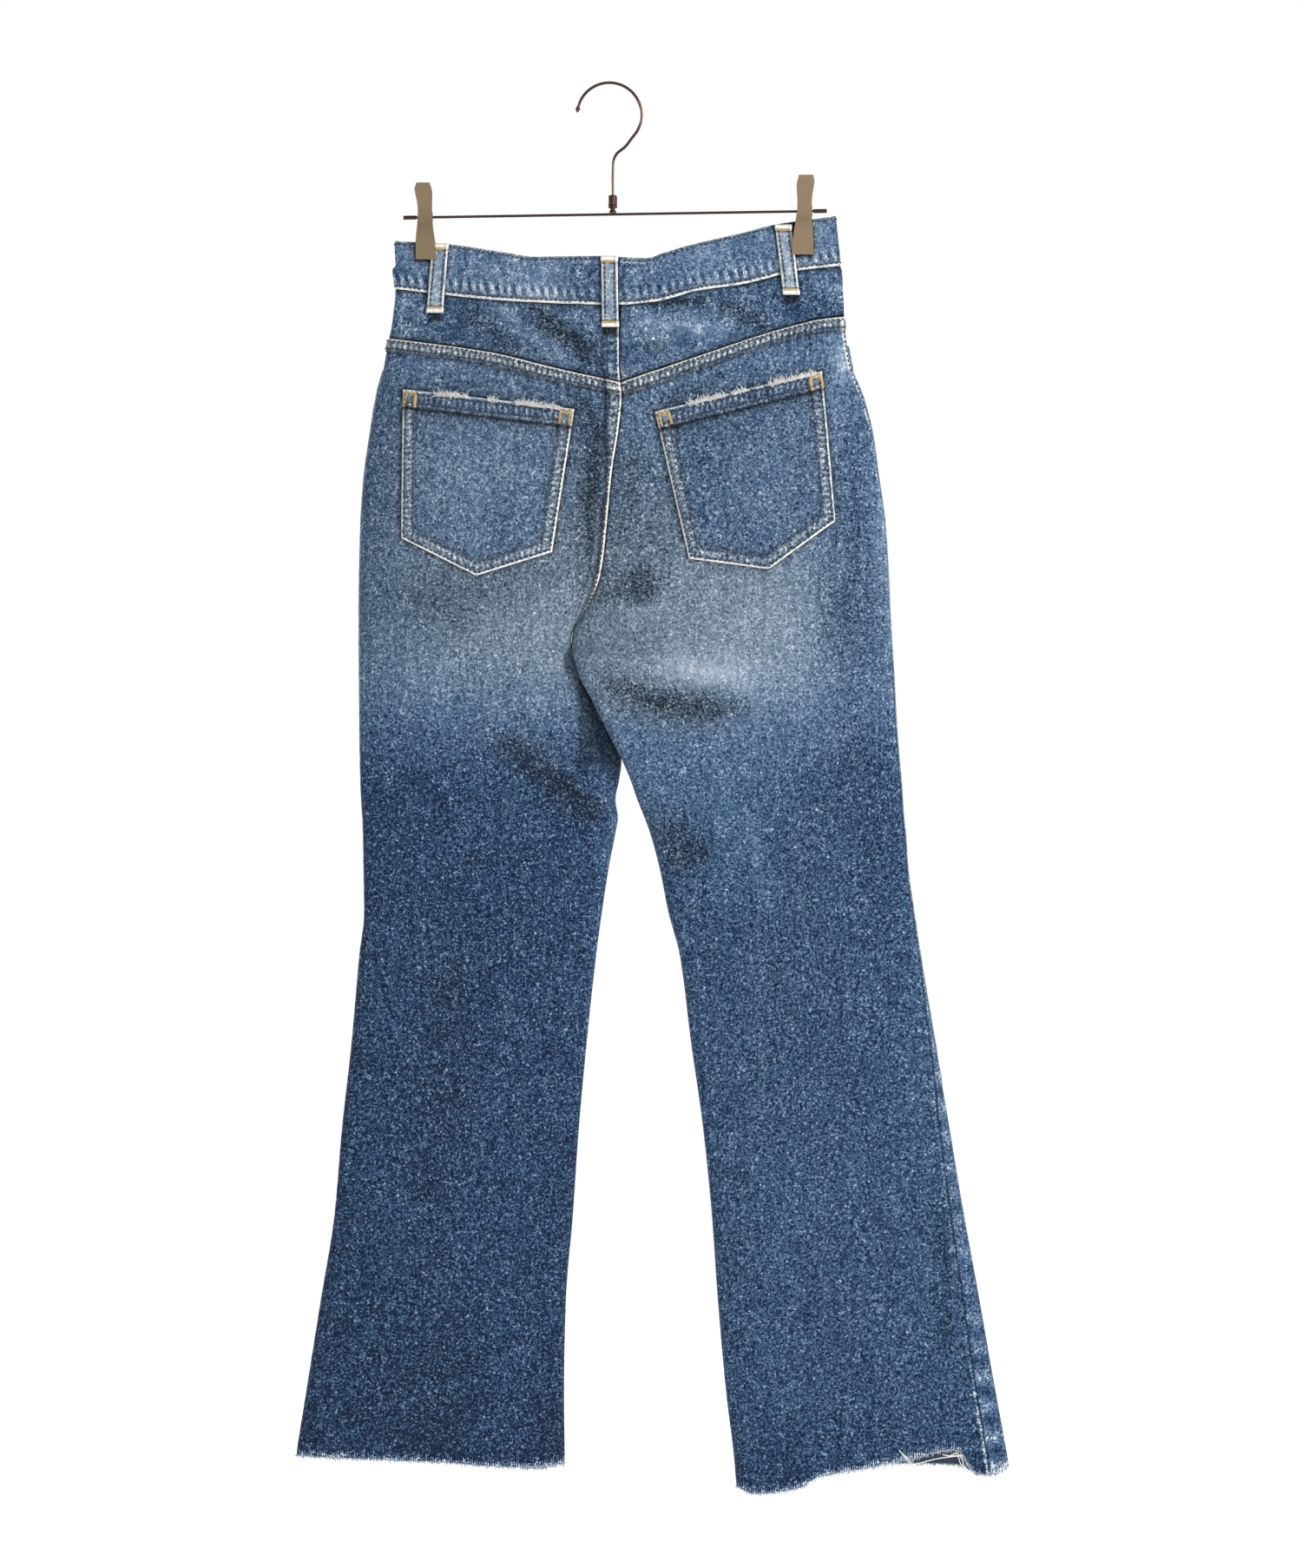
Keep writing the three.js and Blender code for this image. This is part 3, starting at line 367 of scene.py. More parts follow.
def panel_on(part, side, leg, u, z):
    turned = 1 if side == "back" else -1
    start = turned * math.pi + 0 * z if leg == "left" else np.interp(z, *OUTSEAM[part])
    if part == "hips":
        end = angle_at(part, z, inner_left(z), side)
        share = u + EVENNESS * np.sin(math.pi * u) / math.pi
    else:
        end = 0 * z if part == "left" else turned * math.pi + 0 * z
        share = u + EVENNESS * np.sin(2 * math.pi * u) / (2 * math.pi)
    return tube_point(part, z, mix(start, end, share), roll_at(z))


def panel_point(side, leg, u, z):
    hips = panel_on("hips", side, leg, u, z)
    thigh = panel_on(leg, side, leg, u, z)
    turn = ease((CROTCH_DIP - z) / (CROTCH_DIP - CROTCH))
    return mix(hips, thigh, np.asarray(turn)[..., None])


def panel_x(side, leg, u, z):
    return panel_point(side, leg, u, z + 0 * u)[..., 0]


def hem_height(side, leg, u):
    return hem_line[side, leg](panel_x(side, leg, u, HEM_LEVEL))


def yoke_height(side, leg, u):
    return yoke_seam[leg](panel_x(side, leg, u, YOKE_LEVEL))


def waist_height(side, leg, u):
    x = panel_x(side, leg, u, BAND_LEVEL)
    return band_bottom(x) - front_sag(side, x)


# Meshes

def quads(rows, columns, ring=False):
    """Corner numbers of a grid's faces. Its columns may close to a ring."""
    j, i = np.mgrid[0 : rows - 1, 0 : columns if ring else columns - 1]
    right = (i + 1) % columns
    here = j * columns
    corners = np.stack([here + i, here + right, here + columns + right, here + columns + i], -1)
    return corners.reshape(-1, 4)


def make_mesh(name, points, faces, face_materials=None, materials=()):
    mesh = bpy.data.meshes.new(name)
    mesh.from_pydata((np.asarray(points) * MM).tolist(), [], [list(face) for face in faces])
    mesh.polygons.foreach_set("use_smooth", np.ones(len(mesh.polygons), bool))
    for material in materials:
        mesh.materials.append(material)
    if face_materials is not None:
        mesh.polygons.foreach_set("material_index", face_materials)
    mesh.update()
    piece = bpy.data.objects.new(name, mesh)
    bpy.context.scene.collection.objects.link(piece)
    return piece


def paint(piece, name, values):
    """Keeps a number for each point of a mesh, for its material."""
    layer = piece.data.attributes.new(name, "FLOAT", "POINT")
    layer.data.foreach_set("value", values.astype(np.float32))


def unit(ways):
    """The same directions, each of length 1."""
    return ways / np.maximum(np.linalg.norm(ways, axis=-1, keepdims=True), 1e-9)


def grid_normals(points):
    """Normals of a grid of points, whose rows run down."""
    return unit(np.cross(np.gradient(points, axis=1), np.gradient(points, axis=0)))


class Cloth:
    """A sheet of cloth as a grid: its points in mm, and the way each faces."""

    def __init__(self, base, facing):
        self.base = base
        normals = grid_normals(base)
        way = np.sign(np.sum(normals * facing, axis=-1).mean())
        self.normals = normals * way
        self.turned = way < 0
        self.points = base
        self.fields = {}
        self.tree = None

    def lift(self, height):
        self.points = self.base + self.normals * height[..., None]

    def row_line(self, field, value):
        """Points and normals where a field that rises down the rows has a value."""
        values = self.fields[field]
        rows = np.array([np.interp(value, column, np.arange(len(column))) for column in values.T])
        return self.between(rows, np.arange(values.shape[1]), 0)

    def column_line(self, field, value):
        """Points and normals where a field that rises along the columns has a value."""
        values = self.fields[field]
        columns = np.array([np.interp(value, row, np.arange(len(row))) for row in values])
        return self.between(columns, np.arange(values.shape[0]), 1)

    def between(self, places, others, axis):
        low = np.clip(np.floor(places).astype(int), 0, self.points.shape[axis] - 2)
        share = (places - low)[:, None]
        line = []
        for grid in (self.points, self.normals):
            one = grid[low, others] if axis == 0 else grid[others, low]
            other = grid[low + 1, others] if axis == 0 else grid[others, low + 1]
            line.append(mix(one, other, share))
        return np.concatenate(line, axis=1)

    def snap(self, places):
        """The nearest points of the outer face, and its normals there."""
        if self.tree is None:
            faces = quads(*self.points.shape[:2]).tolist()
            self.tree = BVHTree.FromPolygons(self.points.reshape(-1, 3).tolist(), faces)
        found = [self.tree.find_nearest(Vector(place)) for place in places]
        points = np.array([hit[0] for hit in found])
        normals = np.array([hit[1] for hit in found]) * (-1 if self.turned else 1)
        return np.concatenate([points, normals], axis=1)

    def along(self, axis):
        """Distance in mm from the grid's first row or column."""
        steps = np.linalg.norm(np.diff(self.base, axis=axis), axis=-1)
        start = np.zeros_like(np.take(steps, [0], axis=axis))
        return np.cumsum(np.concatenate([start, steps], axis=axis), axis=axis)

    def build(self, name, thickness, materials, **layers):
        """A closed thin wall, with its outer face on the points."""
        rows, columns = self.points.shape[:2]
        inner = self.points - self.normals * np.broadcast_to(thickness, (rows, columns))[..., None]
        count = rows * columns
        outside = quads(rows, columns)
        inside = outside[:, ::-1] + count
        top = np.arange(columns)
        foot = top + (rows - 1) * columns
        start = np.arange(rows) * columns
        end = start + columns - 1
        rims = [
            np.stack([line[:-1], line[:-1] + count, line[1:] + count, line[1:]], -1)
            for line in (top, foot[::-1], start[::-1], end)
        ]
        faces = np.concatenate([outside, inside, *rims])
        if self.turned:
            faces = faces[:, ::-1]
        points = np.concatenate([self.points.reshape(-1, 3), inner.reshape(-1, 3)])
        kinds = np.concatenate([np.zeros(len(outside), int), np.ones(len(faces) - len(outside), int)])
        piece = make_mesh(name, points, faces, kinds, materials)
        for key, value in layers.items():
            grid = np.broadcast_to(value, (rows, columns)).ravel()
            paint(piece, key, np.concatenate([grid, grid]))
        return piece


# Materials

class Nodes:
    """Short calls for building a material's nodes."""

    def __init__(self, name):
        self.material = bpy.data.materials.new(name)
        self.material.use_nodes = True
        self.tree = self.material.node_tree
        self.shader = self.tree.nodes["Principled BSDF"]

    def add(self, kind, inputs=(), **settings):
        node = self.tree.nodes.new("ShaderNode" + kind)
        for key, value in settings.items():
            setattr(node, key, value)
        for key, value in dict(inputs).items():
            self.put(node.inputs[key], value)
        return node

    def put(self, socket, value):
        if isinstance(value, bpy.types.NodeSocket):
            self.tree.links.new(value, socket)
        else:
            socket.default_value = value

    def finish(self, **values):
        for key, value in values.items():
            self.put(self.shader.inputs[key.replace("_", " ")], value)
        return self.material

    def math(self, operation, one, other=0.0, clamp=False):
        inputs = {0: one, 1: other}
        return self.add("Math", inputs, operation=operation, use_clamp=clamp).outputs[0]

    def times(self, one, other):
        return self.math("MULTIPLY", one, other)

    def sum(self, *values):
        total = values[0]
        for value in values[1:]:
            total = self.math("ADD", total, value)
        return total

    def noise(self, scale, detail=2.0, rough=0.5, bend=0.0, stretch=None):
        """Noise around 0, with a spread of about -1 to 1, in the object's own metres."""
        place = self.place(stretch)
        inputs = {"Vector": place, "Scale": scale, "Detail": detail, "Roughness": rough, "Distortion": bend}
        cloud = self.add("TexNoise", inputs).outputs["Fac"]
        return self.centred(cloud)

    def centred(self, value):
        return self.math("MULTIPLY", self.math("SUBTRACT", value, 0.5), 4.0)

    def place(self, stretch=None):
        place = self.add("TexCoord").outputs["Object"]
        if stretch is None:
            return place
        return self.add("Mapping", {"Vector": place, "Scale": stretch}).outputs[0]

    def layer(self, name):
        return self.add("Attribute", attribute_name=name).outputs["Fac"]

    def mixed(self, share, one, other, blend="MIX"):
        node = self.add("Mix", data_type="RGBA", blend_type=blend)
        self.put(node.inputs[0], share)
        self.put(node.inputs[6], one)
        self.put(node.inputs[7], other)
        return node.outputs[2]

    def ramp(self, value, stops):
        node = self.add("ValToRGB", {"Fac": value})
        ramp = node.color_ramp
        while len(ramp.elements) < len(stops):
            ramp.elements.new(0.5)
        for element, (place, colour) in zip(ramp.elements, stops):
            element.position = place
            element.color = colour
        return node.outputs["Color"]


def srgb(red, green, blue):
    """A linear colour from 0 to 255 display values."""
    levels = [value / 255 for value in (red, green, blue)]
    linear = [v / 12.92 if v <= 0.04045 else ((v + 0.055) / 1.055) ** 2.4 for v in levels]
    return (*linear, 1)


# Denim colours from unworn indigo to bare cotton, by the share of dye that is gone
INDIGO_STOPS = [
    (0.0, srgb(9, 22, 44)),
    (0.18, srgb(24, 47, 76)),
    (0.36, srgb(48, 77, 108)),
    (0.54, srgb(82, 108, 138)),
    (0.72, srgb(128, 150, 174)),
    (0.88, srgb(190, 200, 210)),
    (1.0, srgb(235, 234, 226)),
]
GREYED_STOPS = [
    (0.0, srgb(14, 24, 34)),
    (0.18, srgb(38, 52, 66)),
    (0.36, srgb(68, 84, 100)),
    (0.54, srgb(102, 118, 132)),
    (0.72, srgb(144, 156, 166)),
    (0.88, srgb(198, 203, 206)),
    (1.0, srgb(236, 234, 226)),
]
GRAIN_SIZE = 560                   # grains in a metre
GRAIN = 0.84                       # contrast of the grain, and how much less of it on faded cloth
GRAIN_LOST = 0.87
MOTTLE = 0.1


def denim_material(name):
    """Worn denim. Layers: fade (dye gone, with the painted shade and painted highlight of the folds in it
    too), edge (bare threads), flecks, grey (also the grey of painted shade) and shade (painted shade, which
    darkens the colour).

    The layers phase and check draw the light and dark blocks that a puckered seam wears into.
    """
    n = Nodes(name)
    grain = n.noise(GRAIN_SIZE, 2.0, 0.62, 0.9)
    fleck = n.noise(230, 2.0, 0.6, 0.5)
    slub = n.noise(260, 1.0, 0.5, 0.0, (1, 1, 0.14))
    cloud = n.noise(22, 3.0, 0.55)
    flecks = n.layer("flecks")
    edge = n.layer("edge")
    uneven = n.times(n.noise(45, 1.0), 0.16)
    turn = n.times(n.sum(n.layer("phase"), uneven), math.tau)
    wave = n.times(n.math("SINE", turn), 1.8)
    blocks = n.math("MAXIMUM", n.math("MINIMUM", wave, 1.0), -1.0)
    checks = n.times(blocks, n.layer("check"))
    dye = n.sum(
        n.layer("fade"),
        n.times(grain, n.math("SUBTRACT", GRAIN, n.times(n.layer("fade"), GRAIN_LOST))),
        n.times(n.times(fleck, flecks), MOTTLE),
        n.times(slub, 0.05),
        n.times(cloud, 0.02),
        checks,
    )
    bare = n.times(edge, n.sum(1.0, n.times(grain, 0.35), n.times(fleck, 0.25)))
    dye = n.math("ADD", dye, bare, clamp=True)
    blue = n.ramp(dye, INDIGO_STOPS)
    grey = n.ramp(dye, GREYED_STOPS)
    colour = n.mixed(n.layer("grey"), blue, grey)
    light = n.math("SUBTRACT", 1.0, n.layer("shade"), clamp=True)
    lit = n.add("CombineColor", {0: light, 1: light, 2: light}).outputs[0]
    shaded = n.mixed(1.0, colour, lit, "MULTIPLY")
    twill = n.add(
        "TexWave",
        {"Vector": n.add("Mapping", {"Vector": n.place(), "Rotation": (0, math.radians(-27), 0)}).outputs[0],
         "Scale": 300.0, "Distortion": 1.2, "Detail": 1.0},
    ).outputs["Fac"]
    relief = n.sum(n.times(grain, 0.5), n.times(twill, 0.5), checks)
    bump = n.add("Bump", {"Strength": 0.35, "Distance": 0.0004, "Height": relief}).outputs[0]
    rough = n.math("MULTIPLY_ADD", edge, 0.1)
    rough.node.inputs[2].default_value = 0.82
    return n.finish(
        Base_Color=shaded,
        Roughness=rough,
        Normal=bump,
        Sheen_Weight=0.04,
        Sheen_Roughness=0.5,
        Specular_IOR_Level=0.15,
    )


def inside_material():
    """The wrong side of denim and its cut edges: pale weft with a little blue, painted dark navy as painted
    shade for where it shows in the openings.
    """
    n = Nodes("denim_inside_shaded")
    grain = n.noise(520, 2.0, 0.6, 0.6)
    rib = n.add(
        "TexWave",
        {"Vector": n.add("Mapping", {"Vector": n.place(), "Rotation": (0, math.radians(27), 0)}).outputs[0],
         "Scale": 290.0, "Distortion": 0.8},
    ).outputs["Fac"]
    tone = n.sum(0.45, n.times(grain, 0.12), n.times(rib, 0.12))
    colour = n.ramp(tone, [(0.2, srgb(30, 40, 58)), (0.5, srgb(54, 68, 90)), (0.8, srgb(98, 112, 132))])
    bump = n.add("Bump", {"Strength": 0.35, "Distance": 0.0004, "Height": rib}).outputs[0]
    return n.finish(Base_Color=colour, Roughness=0.9, Normal=bump)


def thread_material(name, dark, pale, size=900):
    """Sewing thread or fray: twisted fibres of uneven colour."""
    n = Nodes(name)
    fibre = n.noise(size, 2.0, 0.6)
    patch = n.noise(130, 2.0, 0.5)
    tone = n.sum(0.5, n.times(fibre, 0.16), n.times(patch, 0.16))
    colour = n.ramp(tone, [(0.15, dark), (0.85, pale)])
    bump = n.add("Bump", {"Strength": 0.4, "Distance": 0.0002, "Height": fibre}).outputs[0]
    return n.finish(Base_Color=colour, Roughness=0.72, Normal=bump, Sheen_Weight=0.2)


def metal_material(name, colour, darker, rough, grain_scale):
    """Satin-brushed metal, with fine lines and faint handling marks."""
    n = Nodes(name)
    lines = n.noise(grain_scale, 2.0, 0.6, 0.0, (1, 1, 0.03))
    marks = n.noise(70, 3.0, 0.6)
    tone = n.sum(0.5, n.times(lines, 0.12), n.times(marks, 0.12))
    paint_ramp = n.ramp(tone, [(0.1, darker), (0.9, colour)])
    polish = n.sum(rough, n.times(lines, 0.03), n.times(marks, 0.04))
    bump = n.add("Bump", {"Strength": 0.12, "Distance": 0.0002, "Height": lines}).outputs[0]
    return n.finish(Base_Color=paint_ramp, Metallic=1.0, Roughness=polish, Normal=bump)


# Creases that only the cloth of this scene has, in the same form as the folds
CREASES = {
    "back": [
        (70, -176, 98, -184, 5, 1.3), (64, -186, 104, -198, 7, -1), (-120, -186, -96, -206, 8, 1),
        (-20, -186, -6, -204, 6, 0.9), (12, -398, 34, -424, 10, 2.6), (14, -290, 26, -372, 9, -1.2),
        (34, -300, 40, -380, 8, 1.2), (-26, -290, -20, -350, 8, 1.4), (-70, -412, -40, -500, 14, -1.2),
        (-92, -560, -60, -640, 12, -1.3), (-40, -560, -6, -582, 8, -1.5), (4, -540, 60, -600, 9, -1.6),
        (-180, -560, -120, -600, 16, 1.2), (160, -560, 215, -520, 15, 1.2), (60, -690, 110, -760, 14, 1),
        (-60, -690, -150, -760, 16, 1), (-130, -860, -118, -1010, 13, -1.2),
        (180, -820, 205, -1010, 14, -1.2),
    ],
    "front": [
        (-150, -395, -60, -455, 12, 1.8), (160, -400, 70, -460, 12, 1.8), (-20, -300, -60, -350, 9, 1.4),
        (40, -306, 84, -352, 9, 1.3), (-110, -640, -30, -690, 15, 1.7), (200, -660, 110, -700, 15, 1.6),
        (-126, -740, -120, -900, 14, -1.3), (170, -790, 190, -950, 14, -1.3),
        (-170, -240, -140, -330, 10, 1.2), (176, -240, 150, -330, 10, 1.2),
    ],
}
OUTSEAM = {"hips": outseam_table("hips"), "right": outseam_table("right")}

# Dye gone from the cloth by height, and patches of more or less, some of them painted shade and painted
# highlight: x, z, reach in x and z, amount
FADE_BACK = smooth_curve(
    [(-180, 0.47), (-250, 0.46), (-330, 0.46), (-400, 0.5), (-450, 0.54), (-500, 0.52), (-545, 0.44),
     (-590, 0.36), (-700, 0.33), (-900, 0.32), (-1060, 0.285), (-1170, 0.15)]
)
FADE_FRONT = smooth_curve(
    [(-180, 0.47), (-300, 0.47), (-420, 0.53), (-560, 0.52), (-680, 0.46), (-800, 0.4), (-1170, 0.34)]
)
# Painted light among the back patches: the painted highlight on the ridge under the seat at x 78, z -487,
# the painted shade in the hollows at x 60, z -508 and x 30, z -404, and the darker and paler parts of the
# yoke
FADE_AND_SHADE_PATCHES = {
    "back": [
        (-95, -405, 62, 50, -0.03), (78, -487, 64, 16, 0.07), (130, -440, 70, 60, 0.08),
        (60, -203, 52, 16, 0.08), (150, -180, 40, 24, -0.2), (-140, -196, 46, 22, -0.06),
        (-12, -330, 18, 70, -0.1), (-130, -228, 60, 14, 0.05), (-140, -430, 36, 24, -0.12),
        (196, -440, 30, 60, -0.2), (-150, -580, 50, 60, -0.05), (205, -575, 34, 60, -0.06),
        (30, -404, 17, 15, -0.07), (60, -508, 60, 11, -0.06), (-200, -430, 26, 160, -0.06),
        (225, -620, 26, 220, -0.07), (200, -320, 16, 60, -0.1), (190, -232, 9, 20, 0.12),
        (192, -226, 10, 16, 0.16), (222, -360, 7, 60, 0.1), (60, -590, 50, 50, 0.05),
        (-36, -560, 20, 36, -0.05),
    ],
    "front": [
        (-110, -470, 62, 120, 0.1), (120, -470, 62, 120, 0.1), (2, -420, 34, 60, -0.06),
        (-120, -640, 50, 40, 0.06), (140, -640, 50, 40, 0.06),
    ],
}
# Painted shade in the hollows and painted highlight on the ridges of folds: x and z at both ends, width, and
# amount, less than 0 for painted shade.
# Each is sharper on the left of the way from its first end to its second.
FOLD_SHADING = {
    "back": [
        (-74, -174, -2, -236, 13, -0.24), (-104, -174, -8, -244, 8, 0.13),
        (-126, -178, -66, -226, 9, -0.14), (-164, -176, -150, -216, 8, -0.07),
        (24, -180, 92, -178, 6, -0.24), (84, -176, 132, -198, 12, -0.2), (12, -214, 52, -220, 5, -0.13),
        (12, -194, 110, -206, 8, 0.08), (150, -160, 200, -170, 8, 0.1), (-92, -236, -64, -266, 3.5, 0.12),
        (-30, -246, -2, -304, 9, -0.16), (-8, -280, -20, -410, 9, -0.18), (24, -290, 18, -390, 14, -0.11),
        (30, -266, 104, -236, 6, -0.12), (40, -424, -14, -418, 20, -0.2), (2, -436, 40, -431, 6, 0.08),
        (52, -517, -22, -487, 9, -0.15), (124, -518, 26, -514, 15, -0.11), (20, -478, 110, -486, 8, 0.05),
        (-112, -518, 8, -616, 14, -0.1), (-104, -506, 14, -604, 9, 0.05), (92, -630, 40, -642, 15, -0.12),
        (84, -682, 50, -678, 8, -0.06), (106, -568, 138, -712, 3, 0.09), (60, -686, 130, -700, 12, -0.04),
        (-150, -640, -40, -628, 12, -0.03), (-180, -720, -60, -700, 14, 0.03),
        (60, -300, 100, -336, 16, -0.07), (272, -900, 279, -1062, 7, -0.1),
        (254, -920, 262, -1040, 9, 0.04),
    ],
    "front": [],
}

# Where the fade is more grey than blue; the patch at x 40, z -508 greys the painted shade in the hollow
# under the seat
GREY_PATCHES = {
    "back": [
        (-80, -410, 110, 90, 0.75), (95, -430, 110, 85, 0.6), (-90, -310, 80, 60, 0.3),
        (110, -310, 80, 60, 0.2), (40, -508, 50, 20, 0.35),
    ],
    "front": [
        (-110, -470, 70, 120, 0.4), (120, -470, 70, 120, 0.4),
    ],
}


STREAK_EDGE = 0.35                 # width of a streak's sharper side, as a share


def patches(table, side, x, z):
    total = np.zeros(x.shape)
    for x0, z0, wide, tall, amount in table[side]:
        total += amount * bell(x - x0, wide) * bell(z - z0, tall)
    return total


# Painted shade and painted highlight of the folds, summed from the table above
def fold_shading(side, x, z):
    total = np.zeros(x.shape)
    for x0, z0, x1, z1, width, amount in FOLD_SHADING[side]:
        total += amount * along_fold(x, z, x0, z0, x1, z1, width, STREAK_EDGE)
    return total


# Dye gone, with painted shade and painted highlight added in
def fade_and_shade_at(side, x, z):
    curve = FADE_BACK if side == "back" else FADE_FRONT
    # Fold troughs darker and ridges paler: partly wear, partly painted shade and painted highlight
    fold_wear_and_shade = -0.026 * fold_depth(side, x, z)
    # Painted shade on the back of the lower left leg, the side away from the key lamp
    left_leg_shade = -0.11 * ease((-x - 10) / 30 + 0.5) * ease((-z - 480) / 120) if side == "back" else 0
    return curve(z) + patches(FADE_AND_SHADE_PATCHES, side, x, z) + fold_shading(side, x, z) + fold_wear_and_shade + left_leg_shade


def grey_at(side, x, z):
    # Hollows and dark streaks are greyed as painted shade
    shaded_hollow = 0.09 * np.maximum(0, fold_depth(side, x, z)) - 2.2 * np.minimum(0, fold_shading(side, x, z))
    return np.clip(0.12 * ease((z + 560) / 100) + patches(GREY_PATCHES, side, x, z) + shaded_hollow, 0, 1)


DARKEST = 0.93                     # share of light that a dark line may take


def laps_shade(side, x, z):
    """Painted shadow round a pocket and above its top edge, beside a belt loop and under its lower end, and
    of the right thigh on the left one.
    """
    shade = np.zeros(x.shape)
    if side == "back":
        places = np.stack([x, z], axis=-1)
        for corners in POCKETS.values():
            outline = corners + corners[:1]
            near = np.minimum.reduce([distance_to(places, a, b) for a, b in zip(outline, outline[1:])])
            above = distance_to(places, corners[0], corners[1])
            shade += 0.75 * bell(near, 1.9) + 0.2 * bell(above, 8)
        thigh_edge = inner_right(z) - x
        level = ease((-z - 470) / 30) * ease((z + 572) / 16)
        thigh_shadow = 0.6 * ease((x + 30) / 5) * level + 0.3 * bell(thigh_edge, 3) * ease((-z - 455) / 8)
        shade += np.where((thigh_edge > 0) & (z < -455), thigh_shadow, 0)
    for loop_side, top_x, top_z, low_x, low_z in LOOPS.values():
        if loop_side != side:
            continue
        share = np.clip((z - top_z) / (low_z - top_z), 0, 1)
        beside = np.abs(x - mix(top_x, low_x, share)) - LOOP_WIDTH / 2
        level = ease((z - low_z + 2) / 3) * ease((top_z - z + 6) / 3)
        shade += 0.6 * bell(np.maximum(beside, 0), 1.7) * level
        under = np.maximum(np.abs(x - low_x) - LOOP_WIDTH * 0.36, 0)
        below = low_z - z
        shade += 0.85 * bell(under, 1.8) * bell(np.maximum(below - 5, 0), 3) * ease((below + 2) / 2)
    return np.minimum(shade, DARKEST)


def fleck_at(z):
    """The upper cloth is mottled, the legs are more even."""
    return mix(0.5, 1.3, ease((z + 470) / 220))


def raised(distance, width, height):
    """A felled band that starts at an edge: rounded there, and stepped down at its far side."""
    return height * ease(distance / 1.1) * (1 - ease((distance - width) / 1.6))


def pucker(along, seed, period, unevenness=2.2):
    """The gathers that shrunk thread draws along a seam."""
    size = 0.65 + 0.5 * wander(along, seed + 1, period * 2.2)
    return size * np.sin(2 * math.pi * along / period + unevenness * wander(along, seed, period * 2.5))


def open_rows(length, fine, fine_step, step, last):
    """Shares of a length at which rows lie, close together near both ends."""
    start = np.arange(0, fine, fine_step)
    middle = np.linspace(fine, length - last, int((length - last - fine) / step))
    end = np.linspace(length - last, length, int(last / fine_step) + 1)[1:]
    return np.concatenate([start, middle, end]) / length


MATERIALS = {}


def dress(cloth, name, node, thickness, inner="inside", **layers):
    """Builds a cloth in the place of a node of the frame."""
    piece = cloth.build(name, thickness, [MATERIALS["denim"], MATERIALS[inner]], **layers)
    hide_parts(node)
    return piece, cloth


SIDE_SHARES = np.linspace(0, 0.05, 15)[:-1]
PANEL_SHARES = np.concatenate([SIDE_SHARES, np.linspace(0.05, 0.92, 56), np.linspace(0.92, 1, 21)[1:]])
BAND_WIDTH = 10
MIDDLE_BAND = 12
CHECK_STEP = 4.6                   # from one light block to the next along the yoke seams
MIDDLE_CHECK_STEP = 6.5
ROPE_STEP = 7.5
HEM_STRAND = 1.9                   # from one pale strand of the raw hem to the next
MOUTH_DEPTH = 65.934
MOUTH_SHARE = 0.56
MOUTH_ROUND = 0.8


def mouth_drop(u):
    inside = np.clip(1 - (u / MOUTH_SHARE) ** 2, 0, 1)
    return MOUTH_DEPTH * inside**MOUTH_ROUND


def panel_top(side, leg, u):
    if side == "back":
        return yoke_height(side, leg, u)
    share = u + EVENNESS * np.sin(math.pi * u) / math.pi
    return waist_height(side, leg, u) - mouth_drop(share)


